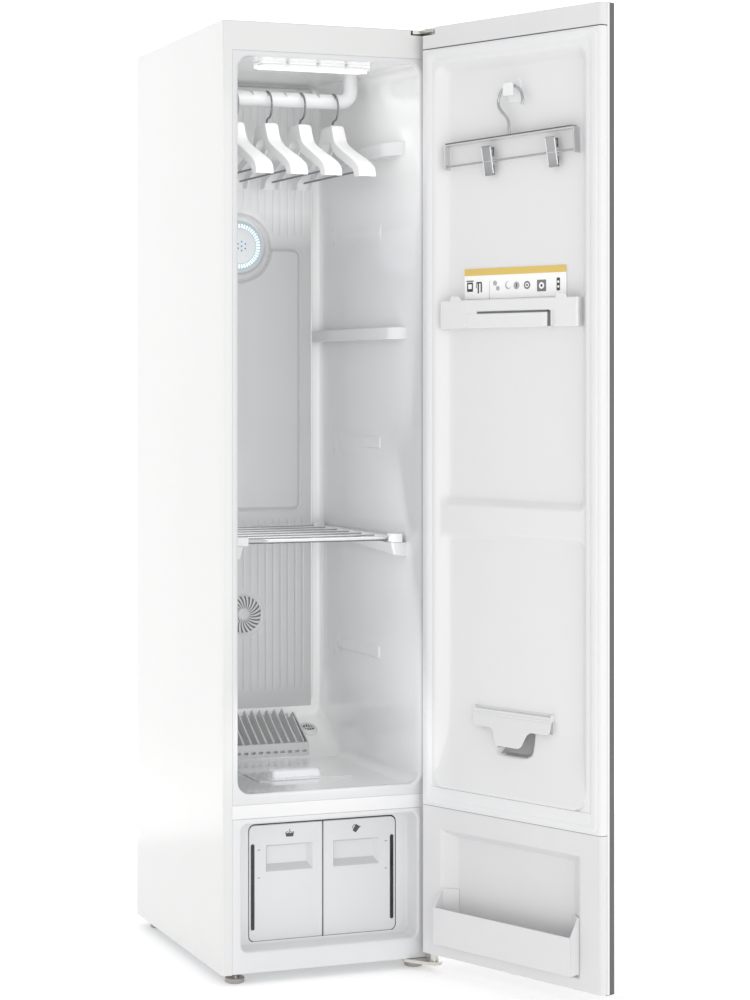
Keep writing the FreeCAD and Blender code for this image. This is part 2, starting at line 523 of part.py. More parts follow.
def tube(pts, bend, r):
    wire = tube_path(pts, bend)
    start = wire.Edges[0]
    ring = Part.Wire(Part.Circle(pts[0], pts[1].sub(pts[0]), r).toShape())
    return wire.makePipeShell([ring], True, False)


rl, ry, rz, rr = val("railLeg"), val("railY"), val("railZ"), val("railR")
rail = tube([V(-rl, ry, 1806), V(-rl, ry, rz), V(rl, ry, rz), V(rl, ry, 1806)], 24.0, rr)
HANG_X = [val("hangPitch") * k - 1.0 for k in (-1.5, -0.5, 0.5, 1.5)]
NOTCH_X = [val("hangPitch") * k * 0.5 - 1.0 for k in (-3, -2, -1, 0, 1, 2, 3)]
for x in NOTCH_X:
    ring = Part.makeCylinder(rr + 3, 6, V(x - 3, ry, rz), V(1, 0, 0)).cut(Part.makeCylinder(rr - 3, 6, V(x - 3, ry, rz), V(1, 0, 0)))
    ring = ring.common(Part.makeBox(8, 40, 20, V(x - 4, ry - 20, rz + 5)))
    rail = rail.cut(ring)
carrier = Part.makeBox(2 * rl + 36, 32, 12, V(-rl - 18, ry - 16, 1800))
node("hanger_rail", made("hanger_rail_body", rail.fuse(carrier).removeSplitter()))

# ================================================================== garment hangers
HOOK_R = 28.2          # inner radius of a hanger hook
WIRE = 1.75


def hanger_body(x):
    top = [(226, 1674), (232, 1679), (276, 1679), (282, 1674)]
    front = [(216, 1655), (205, 1639.5), (163, 1621), (112, 1601), (90, 1591), (76, 1581), (70.5, 1570), (70, 1562)]
    under = [(97, 1562), (102, 1578), (124, 1584), (168, 1602), (214, 1619), (232, 1642)]
    rear = [(508 - y, z) for y, z in reversed(front)]
    runder = [(508 - y, z) for y, z in reversed(under)]
    outline = top[:2] + top[2:] + [(508 - y, z) for y, z in front] + [(508 - y, z) for y, z in under] + [(254, 1646)] + list(reversed(under)) + list(reversed(front))
    wire = Part.makePolygon([V(x, y, z) for y, z in outline + [outline[0]]])
    slab = Part.Face(wire).extrude(V(30, 0, 0))
    slab.translate(V(-15, 0, 0))
    slab = slab.cut(Part.makeCylinder(1.8, 16, V(x, 254, 1669), V(0, 0, 1)))
    bar = Part.makeCylinder(2.0, 324, V(x, 92, 1575.5), V(0, 1, 0))
    return slab.fuse(bar).removeSplitter()


def hanger_hook(x):
    cz = rz + rr - 3 + 0.35 - HOOK_R          # the hook hangs in the ring of a notch
    r = HOOK_R + WIRE
    c = V(x, ry, cz)

    def at(deg):
        a = math.radians(deg)
        return V(x, c.y + r * math.cos(a), c.z + r * math.sin(a))
    a_end = at(20)
    a_mid = at(105)
    a_in = at(212)
    arc = Part.Arc(a_end, a_mid, a_in).toShape()
    tang = V(0, -math.sin(math.radians(212)), math.cos(math.radians(212)))
    low = V(x, 254, 1687)
    bez_ = Part.BezierCurve()
    bez_.setPoles([a_in, a_in + tang * 16, low + V(0, 0, 12), low])
    stem = Part.LineSegment(low, V(x, 254, 1670)).toShape()
    wire = Part.Wire([arc, bez_.toShape(), stem])
    ring = Part.Wire(Part.Circle(a_end, V(0, -math.sin(math.radians(20)), math.cos(math.radians(20))), WIRE).toShape())
    return wire.makePipeShell([ring], True, True)


for k, x in enumerate(HANG_X, start=1):
    node("hanger_%d_body" % k, made("hanger_%d_shape" % k, hanger_body(x)))
    node("hanger_%d_hook" % k, made("hanger_%d_wire" % k, hanger_hook(x)))

# ================================================================== pull-out rack
rk_l = span("rack_side_l", -177, -152, 66, 481, "shelfZ", "shelfZ+13")
rk_r = span("rack_side_r", 152, 177, 66, 481, "shelfZ", "shelfZ+13")
rk_bl = span("rack_block_l", -178, -152, 62, 82, "shelfZ", "shelfZ+16")
rk_br = span("rack_block_r", 152, 178, 62, 82, "shelfZ", "shelfZ+16")
rack_l = fuse("rack_left", [rk_l, rk_bl])
rack_r = fuse("rack_right", [rk_r, rk_br])
comp_rack = doc.addObject("Part::Compound", "rack_sides_body")
comp_rack.Links = [rack_l, rack_r]
node("rack_sides", comp_rack)
rods = [cyl("rack_rod_0", -152, 74, "shelfZ+8", 4.8, 304, "X")]
for i, y in enumerate((142, 208, 274, 340, 406, 472), start=1):
    rods.append(cyl("rack_rod_%d" % i, -152, y, "shelfZ+9", 2.4, 304, "X"))
comp_rods = doc.addObject("Part::Compound", "rack_rods_body")
comp_rods.Links = rods
node("rack_rods", comp_rods)

# ================================================================== water tanks
def tank(tag, sgn):
    def sx(a, b):
        return ("%s" % a, "%s" % b) if sgn > 0 else ("-(%s)" % b, "-(%s)" % a)
    x0, x1 = sx("1.2", "bayHalf-1.2")
    ob = span(tag + "_block", x0, x1, "recDeep", "bayEnd-6", "bayLow+1.2", "bayHigh-1.2")
    o = rounded(tag + "_outer", ob, 12, lambda e: along(e, AY) and abs(e.CenterOfMass.x) > 50)
    i0, i1 = sx("4", "bayHalf-4")
    inner = rounded(tag + "_inner_round", span(tag + "_inner", i0, i1, "recDeep+3", "bayEnd-9", "bayLow+4", "bayHigh-4"), 9,
                    lambda e: along(e, AY) and abs(e.CenterOfMass.x) > 50)
    g0, g1 = sx("19", "122")
    boss = span(tag + "_boss", g0, g1, "recDeep+2", "recDeep+20", 201, 258)
    w0, w1 = ("22", "119") if sgn > 0 else ("-119", "-22")
    n0, n1 = ("27", "114") if sgn > 0 else ("-114", "-27")
    grip = wedge(tag + "_grip", "recDeep-0.5", "recDeep+17", (w0, w1, "204", "255"), (n0, n1, "217", "254"))
    fx = "78" if sgn > 0 else "-78"
    fill = cyl(tag + "_fill", fx, 130, "bayHigh-10", 20, 20)
    s0, s1 = sx("143", "150.2")
    slot = span(tag + "_slot", s0, s1, "recDeep-1", "recDeep+1.6", 92, 259)
    shell = cut(tag + "_shell", o, [inner, fill])
    o0, o1 = sx("-3", "bayHalf+3")
    front = common(tag + "_front", [shell, span(tag + "_zone_f", o0, o1, "recDeep-1", "recDeep+3", "bayLow-2", "bayHigh+2")])
    parts = [cut(tag + "_face", fuse(tag + "_bossed", [front, boss]), [grip, slot])]
    m0, m1 = sx("-3", "4")
    q0, q1 = sx("4", "bayHalf+3")
    for zone, bx in (("rear", (o0, o1, "bayEnd-9", "bayEnd", "bayLow-2", "bayHigh+2")), ("low", (o0, o1, "recDeep+3", "bayEnd-9", "bayLow-2", "bayLow+4")),
                     ("lid", (o0, o1, "recDeep+3", "bayEnd-9", "bayHigh-4", "bayHigh+2")), ("mid_side", (m0, m1, "recDeep+3", "bayEnd-9", "bayLow+4", "bayHigh-4")),
                     ("out_side", (q0, q1, "recDeep+3", "bayEnd-9", "bayLow+4", "bayHigh-4"))):
        parts.append(common("%s_%s" % (tag, zone), [shell, span("%s_zone_%s" % (tag, zone), *bx)]))
    parts.append(cyl(tag + "_cap", fx, 130, "bayHigh-4.2", 19.7, 3))
    both = doc.addObject("Part::Compound", tag + "_with_cap")
    both.Links = parts
    return both


def window(tag, sgn):
    x0, x1 = ("143.4", "149.8") if sgn > 0 else ("-149.8", "-143.4")
    w = span(tag + "_strip", x0, x1, "recDeep+0.1", "recDeep+1.6", 92.4, 258.6)
    return rounded(tag + "_strip_round", w, 3.0, lambda e: along(e, AY))


node("supply_tank", tank("supply", -1))
node("supply_window", window("supply", -1))
node("drain_tank", tank("drain", 1))
node("drain_window", window("drain", 1))

# ================================================================== door (drawn closed)
gl = plate("glass_sheet", "-doorHalf+3.4", "doorHalf-3.4", "doorOut", "doorOut+4", "doorLow+3.4", "doorHigh-3.4")
notch = span("glass_notch", "notchX", "doorHalf+2", "doorOut-2", "doorIn+2", "notchZ", "doorHigh+2")
node("door_glass", cut("door_glass_body", gl, notch), "door")

fr_o = span("frame_outer", "-doorHalf", "doorHalf", "doorOut", "doorMid", "doorLow", "doorHigh")
fr_i = span("frame_inner", "-doorHalf+3", "doorHalf-3", "doorOut-1", "doorMid+1", "doorLow+3", "doorHigh-3")
fr_ring = cut("frame_ring", fr_o, fr_i)
rb_o = span("rebate_outer", "-doorHalf+2.5", "doorHalf-2.5", "doorOut+4", "doorOut+6", "doorLow+2.5", "doorHigh-2.5")
rb_i = span("rebate_inner", "-doorHalf+14", "doorHalf-14", "doorOut+3", "doorOut+7", "doorLow+14", "doorHigh-14")
rebate = cut("frame_rebate", rb_o, rb_i)
hb_t = span("hinge_block_top", "notchX-4", "doorHalf-2.5", "doorOut+4", "doorMid", 1790, "notchZ")
hb_n = span("hinge_block_side", "notchX-4", "notchX", "doorOut+4", "doorMid", "notchZ", "doorHigh-2.5")
hb_b = span("hinge_block_low", "notchX-4", "doorHalf-2.5", "doorOut+4", "doorMid", "doorLow", 72)
notch_f = span("frame_notch", "notchX", "doorHalf+2", "doorOut-2", "doorIn+2", "notchZ", "doorHigh+2")
bore_t = cyl("hinge_bore_top", "pivotX", "pivotY", 1799, "pinR+pinGap", 60)
bore_b = cyl("hinge_bore_low", "pivotX", "pivotY", 20, "pinR+pinGap", 38)
node("door_frame", cut("door_frame_body", fuse("frame_blank", [fr_ring, rebate, hb_t, hb_n, hb_b]), [notch_f, bore_t, bore_b]), "door")


def edge_round(name, obj):
    return rounded(name, obj, 8, lambda e: along(e, AZ) and e.CenterOfMass.y > val("doorIn") - 0.1 and abs(e.CenterOfMass.x) > 200)


lu0 = span("upper_liner_block", "-doorHalf+0.5", "doorHalf-0.5", "doorMid", "doorIn", "seamZ+0.6", "capZ-0.6")
lu1 = edge_round("upper_liner_round", lu0)
lu_back = span("upper_liner_back", "-doorHalf+3", "doorHalf-3", "doorMid-1", "doorIn-3", "seamZ+3.2", "capZ-3.2")
lu_cut = cut("upper_liner_skin", lu1, rounded("upper_liner_back_round", lu_back, 6, lambda e: along(e, AZ) and e.CenterOfMass.y > -10))
pan_o = wedge("panel_pan_outer", "doorIn-panelDeep-2.5", "doorIn-0.5", ("-panelHalf+21", "panelHalf-21", "panelLow+4", "panelHigh-21"),
              ("-panelHalf-3", "panelHalf+3", "panelLow-3", "panelHigh+3"))
pan_i = wedge("panel_pan_inner", "doorIn-panelDeep", "doorIn+0.2", ("-panelHalf+24", "panelHalf-24", "panelLow+8", "panelHigh-24"),
              ("-panelHalf", "panelHalf", "panelLow", "panelHigh"))
band = wedge("panel_band", "doorIn-panelDeep-1", "doorIn-8", ("-panelHalf+20", "panelHalf-20", "850", "929"), ("-panelHalf+8", "panelHalf-8", "862", "917"))
skirt = side_prism("panel_skirt", [(-26, 500), (3, 371), (2, 369), (-2, 369), (-26, 377)], -171, 171)
node("door_liner", fuse("door_liner_body", [cut("upper_liner_open", fuse("upper_liner_pan", [lu_cut, pan_o]), pan_i), band, skirt]), "door")

ll0 = span("lower_liner_block", "-doorHalf+0.5", "doorHalf-0.5", "doorMid", "doorIn", "doorLow+2", "seamZ")
ll1 = edge_round("lower_liner_round", ll0)
ll_back = span("lower_liner_back", "-doorHalf+3", "doorHalf-3", "doorMid-1", "doorIn-3", "doorLow+5", "seamZ-2.6")
ll_cut = cut("lower_liner_skin", ll1, rounded("lower_liner_back_round", ll_back, 6, lambda e: along(e, AZ) and e.CenterOfMass.y > -10))
lp_o = wedge("lower_pan_outer", "doorIn-25", "doorIn-0.5", ("-pocketHalf+27.5", "pocketHalf-27.5", "59.5", "272"), ("-pocketHalf-2.5", "pocketHalf+2.5", "59.5", "287"))
lp_i = wedge("lower_pan_inner", "doorIn-22.5", "doorIn+0.2", ("-pocketHalf+30", "pocketHalf-30", "62", "269"), ("-pocketHalf", "pocketHalf", "62", "284.5"))
lp_all = cut("lower_liner_open", fuse("lower_liner_pan", [ll_cut, lp_o]), lp_i)
node("door_lower_liner", lp_all, "door")

cap0 = span("cap_block", "-doorHalf+0.5", "doorHalf-0.5", "doorMid", "doorIn", "capZ", "doorHigh")
cap1 = edge_round("cap_round", cap0)
cap_notch = span("cap_notch", "notchX", "doorHalf+2", "doorMid-2", "doorIn+2", "notchZ", "doorHigh+2")
node("door_cap", cut("door_cap_body", cap1, cap_notch), "door")

g_o = rounded("seal_outer", span("seal_outer_block", -210, 210, "doorIn", -0.7, 333, 1799), 12, lambda e: along(e, AY))
g_i = rounded("seal_inner", span("seal_inner_block", -199, 199, "doorIn-1", 1, 344, 1788), 8, lambda e: along(e, AY))
node("door_gasket", cut("door_gasket_body", g_o, g_i), "door")

bin_floor = flat_prism("bin_floor", [("-binHalf", "binFront"), ("-binHalf", -7), (-140.5, "doorIn-22.5"), (140.5, "doorIn-22.5"), ("binHalf", -7), ("binHalf", "binFront")], 67, 69.6)
bin_front = span("bin_front", "-binHalf", "binHalf", "binFront-2.6", "binFront", 67, 138)
bin_pts = [(-7, 67), ("binFront", 67), ("binFront", 138), (-4, 171), (-7, 171)]
bin_l = side_prism("bin_side_l", bin_pts, "-binHalf", "-binHalf+2.6")
bin_r = side_prism("bin_side_r", bin_pts, "binHalf-2.6", "binHalf")
node("door_bin", fuse("door_bin_body", [bin_floor, bin_front, bin_l, bin_r]), "door")

hold_o = wedge("holder_outer", "doorIn-panelDeep", "0", ("-161.5", "161.5", "1256", "1310"), ("-168.5", "168.5", "1256", "1310"))
hold_i = wedge("holder_inner", "doorIn-panelDeep+3", "-2.6", ("-159", "159", "1259", "1316"), ("-164.5", "164.5", "1259", "1316"))
ears = [span("holder_ear_l", -140, -120, -2.6, 0, 1308, 1318), span("holder_ear_r", 120, 140, -2.6, 0, 1308, 1318)]
node("holder_pocket", fuse("holder_pocket_body", [cut("holder_shell", hold_o, hold_i)] + ears), "door")

hk_base = rounded("hook_base_round", span("hook_base", -15, 15, "doorIn-panelDeep", -22, 1684, 1726), 6, lambda e: along(e, AY))
hk_arm = rounded("hook_arm_round", span("hook_arm", -3, 3, -22, -6, 1698, 1711), 1.5, lambda e: along(e, AY) and e.CenterOfMass.z > 1705)
hk_tip = rounded("hook_tip_round", span("hook_tip", -14, 14, -7, -3, 1694, 1720), 4, lambda e: along(e, AY))
node("door_hook", fuse("door_hook_body", [hk_base, hk_arm, hk_tip]), "door")

hc_base = span("clamp_base", -93, 93, "doorIn-panelDeep", -22, 499, 533)
hc_ears = [span("clamp_ear_l", -98, -94, "doorIn-panelDeep", -14, 520.5, 533.5), span("clamp_ear_r", 94, 98, "doorIn-panelDeep", -14, 520.5, 533.5)]
hc_foot = [span("clamp_link_l", -98, -90, "doorIn-panelDeep", -22, 520.5, 533), span("clamp_link_r", 90, 98, "doorIn-panelDeep", -22, 520.5, 533)]
hc_bores = [cyl("clamp_bore_l", -99, -18, 527.0, 2.06, 6, "X"), cyl("clamp_bore_r", 93, -18, 527.0, 2.06, 6, "X")]
node("hem_clamp_base", cut("hem_clamp_base_body", fuse("clamp_blank", [hc_base] + hc_ears + hc_foot), hc_bores), "door")

# hem clamp flap: a T-shaped plate that leans out, on a shaft in the two ears
T = [(-92, 0), (92, 0), (92, -31), (45, -31), (40, -37), (30, -64), (-30, -64), (-40, -37), (-45, -31), (-92, -31)]
flap = Part.Face(Part.makePolygon([V(x, -1.25, z) for x, z in T + [T[0]]])).extrude(V(0, 2.5, 0))
flap.rotate(V(0, 0, 0), V(1, 0, 0), 12.8)
flap.translate(V(0, -18, 527.0))
flap = flap.fuse(Part.makeCylinder(2.0, 196, V(-98, -18, 527.0), V(1, 0, 0)))
node("hem_clamp_flap", made("hem_clamp_flap_body", flap.removeSplitter()), "door")

# ================================================================== clip hanger on the door
wire_r = 2.6
arm_top = 1711.0
hy = -10.5
hcz = arm_top + 0.3 - 27.4          # centre of the hook's ring: it rests on the arm


def ring_pt(deg, r=30.0):
    a = math.radians(deg)
    return V(r * math.cos(a), hy, hcz + r * math.sin(a))


e_arc = Part.Arc(ring_pt(-22), ring_pt(80), ring_pt(182)).toShape()
# the left side comes down and swings back to the middle of the bar
t_end = V(-math.sin(math.radians(182)), 0, math.cos(math.radians(182)))
neck = V(-5.5, hy, 1640)
bz = Part.BezierCurve()
bz.setPoles([ring_pt(182), ring_pt(182) + t_end * 16, neck + V(0, 0, 18), neck])
stem_ = Part.LineSegment(neck, V(-5.5, hy, 1620.5)).toShape()
path = Part.Wire([e_arc, bz.toShape(), stem_])
start_dir = V(-math.sin(math.radians(-22)), 0, math.cos(math.radians(-22)))
hook_shape = path.makePipeShell([Part.Wire(Part.Circle(ring_pt(-22), start_dir, wire_r).toShape())], True, True)
mirror_x = FreeCAD.Matrix()
mirror_x.A11 = -1.0
hook_shape = hook_shape.transformGeometry(mirror_x)
node("clip_hanger_hook", made("clip_hanger_hook_body", hook_shape), "door", "tilt")

cb_top = span("clip_bar_top", -154.5, 165.5, -19.5, -3.5, 1615, 1620.5)
cb_l = span("clip_bar_l", -154.5, -151, -19.5, -3.5, 1570, 1619)
cb_r = span("clip_bar_r", 162, 165.5, -19.5, -3.5, 1570, 1619)
cb_rod = cyl("clip_rod", -152.5, -10.5, 1576, 2.0, 316, "X")
node("clip_hanger_bar", fuse("clip_hanger_bar_body", [cb_top, cb_l, cb_r, cb_rod]), "door", "tilt")


def clip(tag, x):
    backp = span(tag + "_back", x - 11, x + 11, -17, -14.6, 1549, 1600)
    frontp = span(tag + "_front", x - 11, x + 11, -6.4, -4, 1549, 1600)
    hub = span(tag + "_hub", x - 7, x + 7, -14.7, -6.3, 1569, 1583)
    bore = cyl(tag + "_bore", x - 12, -10.5, 1576, 2.06, 24, "X")
    jaw = span(tag + "_jaw", x - 11, x + 11, -14.7, -10.9, 1549, 1555)
    return cut(tag + "_all", fuse(tag + "_blank", [backp, frontp, hub, jaw]), bore)


node("clip_left", clip("clip_a", 58), "door", "tilt")
node("clip_right", clip("clip_b", -98), "door", "tilt")

# ================================================================== place, test and write
doc.recompute()
shift = FreeCAD.Placement(V(-val("offX"), -val("offY"), 0), FreeCAD.Rotation())
pivot = V(val("pivotX"), val("pivotY"), 0)
swing = FreeCAD.Placement(pivot, FreeCAD.Rotation(AZ, val("doorAngle"))).multiply(FreeCAD.Placement(-pivot, FreeCAD.Rotation()))
hang_at = V(0, 0, arm_top)
lean = FreeCAD.Placement(hang_at, FreeCAD.Rotation(AY, val("tilt"))).multiply(FreeCAD.Placement(-hang_at, FreeCAD.Rotation()))
for name, obj, group, extra in NODES:
    own = obj.Placement
    place = shift
    if group == "door":
        place = place.multiply(swing)
    if extra == "tilt":
        place = place.multiply(lean)
    if obj.ExpressionEngine:
        for prop, _ in list(obj.ExpressionEngine):
            if "Placement" in prop:
                obj.setExpression(prop, None)
    obj.Placement = place.multiply(own)
doc.recompute()

bad = [o.Name for o in doc.Objects if any(s in ("Invalid", "Error") for s in o.State)]
if bad:
    raise RuntimeError("failed objects: " + ", ".join(bad))
for name, obj, group, extra in NODES:
    s = obj.Shape
    if s.isNull() or not s.isValid() or not s.Solids:
        raise RuntimeError("bad shape: " + name)

os.makedirs("parts", exist_ok=True)
for old in os.listdir("parts"):
    if old.endswith(".step"):
        os.remove(os.path.join("parts", old))
whole = FreeCAD.BoundBox()
for name, obj, group, extra in NODES:
    obj.Shape.exportStep("parts/%s.step" % name)
    whole.add(obj.Shape.BoundBox)
    print("%-20s %d solid(s) %10.0f mm3  %s" % (name, len(obj.Shape.Solids), obj.Shape.Volume, obj.Shape.BoundBox))
print(len(NODES), "nodes", whole)
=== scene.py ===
import bpy
import math
import numpy as np
from mathutils import Matrix, Vector


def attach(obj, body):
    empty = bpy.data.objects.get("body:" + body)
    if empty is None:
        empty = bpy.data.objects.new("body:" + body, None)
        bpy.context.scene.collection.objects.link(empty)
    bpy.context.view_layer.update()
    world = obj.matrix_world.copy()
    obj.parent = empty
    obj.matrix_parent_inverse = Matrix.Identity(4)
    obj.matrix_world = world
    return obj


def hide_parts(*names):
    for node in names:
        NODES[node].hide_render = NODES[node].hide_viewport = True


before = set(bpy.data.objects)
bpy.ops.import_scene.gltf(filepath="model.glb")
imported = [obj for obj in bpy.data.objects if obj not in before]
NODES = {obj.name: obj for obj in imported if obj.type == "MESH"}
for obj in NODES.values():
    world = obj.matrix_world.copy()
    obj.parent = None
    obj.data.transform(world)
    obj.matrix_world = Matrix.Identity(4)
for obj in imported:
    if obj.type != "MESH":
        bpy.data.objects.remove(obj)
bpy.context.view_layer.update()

# ------------------------------------------------------------------ placing
# Shapes are written in the cabinet's own millimetres: X right, Y to the rear with the front
# plane at 0, Z up.  Door shapes are written with the door shut and swung open to rest.
X0, Y0 = 82.86, 58.82
PIV = (207.5, -26.2)
OPEN = math.radians(113.0)
CO, SO = math.cos(OPEN), math.sin(OPEN)
LEAN = math.radians(2.1)
HOOK_Z = 1711.0


def cab(v):
    v = np.asarray(v, float).reshape(-1, 3)
    return (v - np.array([X0, Y0, 0.0])) / 1000.0


def dor(v):
    v = np.asarray(v, float).reshape(-1, 3)
    dx, dy = v[:, 0] - PIV[0], v[:, 1] - PIV[1]
    return cab(np.stack([PIV[0] + dx * CO - dy * SO, PIV[1] + dx * SO + dy * CO, v[:, 2]], 1))


def lean(v):
    v = np.asarray(v, float).reshape(-1, 3)
    x, z = v[:, 0], v[:, 2] - HOOK_Z
    return dor(np.stack([x * math.cos(LEAN) + z * math.sin(LEAN), v[:, 1], HOOK_Z - x * math.sin(LEAN) + z * math.cos(LEAN)], 1))


# ------------------------------------------------------------------ materials
def ramp_node(nt, fac, stops):
    r = nt.nodes.new("ShaderNodeValToRGB")
    while len(r.color_ramp.elements) < len(stops):
        r.color_ramp.elements.new(0.5)
    for e, (p, c) in zip(r.color_ramp.elements, stops):
        e.position = p
        e.color = (*c, 1.0) if len(c) == 3 else c
    nt.links.new(fac, r.inputs[0])
    return r.outputs[0]


def material(name, color, rough=0.3, metal=0.0, vary=0.012, rough_vary=0.03, grain=600.0, bump=0.02, coat=0.0, brushed=None, emit=None,
             patch=6.0, alpha=None, trans=0.0, ior=1.46, spec=0.5, sheen=0.0):
    m = bpy.data.materials.new(name)
    m.use_nodes = True
    nt = m.node_tree
    b = nt.nodes["Principled BSDF"]
    tc = nt.nodes.new("ShaderNodeTexCoord")
    big = nt.nodes.new("ShaderNodeTexNoise")
    big.inputs["Scale"].default_value = patch
    big.inputs["Detail"].default_value = 3.0
    nt.links.new(tc.outputs["Object"], big.inputs["Vector"])
    lo = tuple(max(0.0, c * (1 - vary)) for c in color)
    hi = tuple(min(1.0, c * (1 + vary)) for c in color)
    nt.links.new(ramp_node(nt, big.outputs["Fac"], [(0.35, lo), (0.65, hi)]), b.inputs["Base Color"])
    fine = nt.nodes.new("ShaderNodeTexNoise")
    fine.inputs["Scale"].default_value = grain
    fine.inputs["Detail"].default_value = 2.0
    if brushed:
        mp = nt.nodes.new("ShaderNodeMapping")
        mp.inputs["Scale"].default_value = brushed
        nt.links.new(tc.outputs["Object"], mp.inputs["Vector"])
        nt.links.new(mp.outputs["Vector"], fine.inputs["Vector"])
    else:
        nt.links.new(tc.outputs["Object"], fine.inputs["Vector"])
    rr = nt.nodes.new("ShaderNodeMapRange")
    rr.inputs["From Min"].default_value = 0.3
    rr.inputs["From Max"].default_value = 0.7
    rr.inputs["To Min"].default_value = max(0.0, rough - rough_vary)
    rr.inputs["To Max"].default_value = min(1.0, rough + rough_vary)
    nt.links.new((fine if brushed else big).outputs["Fac"], rr.inputs["Value"])
    nt.links.new(rr.outputs["Result"], b.inputs["Roughness"])
    if bump > 0:
        bp = nt.nodes.new("ShaderNodeBump")
        bp.inputs["Strength"].default_value = bump
        bp.inputs["Distance"].default_value = 0.0004
        nt.links.new(fine.outputs["Fac"], bp.inputs["Height"])
        nt.links.new(bp.outputs["Normal"], b.inputs["Normal"])
    b.inputs["Metallic"].default_value = metal
    b.inputs["IOR"].default_value = ior
    b.inputs["Specular IOR Level"].default_value = spec
    if coat:
        b.inputs["Coat Weight"].default_value = coat
        b.inputs["Coat Roughness"].default_value = 0.03
    if trans:
        b.inputs["Transmission Weight"].default_value = trans
    if sheen:
        b.inputs["Sheen Weight"].default_value = sheen
    if alpha is not None:
        b.inputs["Alpha"].default_value = alpha
    if emit:
        b.inputs["Emission Color"].default_value = (*emit[:3], 1.0)
        b.inputs["Emission Strength"].default_value = emit[3]
    return m



def paint_light_and_shade(mat, color, x=None, y=None, z=None, normal_z=None, amount=1.0):
    # paints light and shade into the base colour: blends another colour in over a range of object coordinates, or by
    # how far the normal faces up or down
    nt = mat.node_tree
    b = nt.nodes["Principled BSDF"]
    tc = nt.nodes.new("ShaderNodeTexCoord")
    pos = nt.nodes.new("ShaderNodeSeparateXYZ")
    nt.links.new(tc.outputs["Object"], pos.inputs["Vector"])
    fac = None
    for span, sock in ((x, pos.outputs["X"]), (y, pos.outputs["Y"]), (z, pos.outputs["Z"])):
        if span is None:
            continue
        mr = nt.nodes.new("ShaderNodeMapRange")
        mr.inputs["From Min"].default_value = span[0]
        mr.inputs["From Max"].default_value = span[1]
        nt.links.new(sock, mr.inputs["Value"])
        if fac is None:
            fac = mr.outputs["Result"]
        else:
            mu = nt.nodes.new("ShaderNodeMath")
            mu.operation = "MULTIPLY"
            nt.links.new(fac, mu.inputs[0])
            nt.links.new(mr.outputs["Result"], mu.inputs[1])
            fac = mu.outputs["Value"]
    if normal_z is not None:
        ns = nt.nodes.new("ShaderNodeSeparateXYZ")
        nt.links.new(tc.outputs["Normal"], ns.inputs["Vector"])
        mr = nt.nodes.new("ShaderNodeMapRange")
        mr.inputs["From Min"].default_value = normal_z[0]
        mr.inputs["From Max"].default_value = normal_z[1]
        nt.links.new(ns.outputs["Z"], mr.inputs["Value"])
        fac = mr.outputs["Result"]
    am = nt.nodes.new("ShaderNodeMath")
    am.operation = "MULTIPLY"
    nt.links.new(fac, am.inputs[0])
    am.inputs[1].default_value = amount
    mix = nt.nodes.new("ShaderNodeMix")
    mix.data_type = "RGBA"
    old = b.inputs["Base Color"].links[0].from_socket
    nt.links.new(am.outputs["Value"], mix.inputs[0])
    nt.links.new(old, mix.inputs[6])
    mix.inputs[7].default_value = (*color, 1.0)
    nt.links.new(mix.outputs[2], b.inputs["Base Color"])


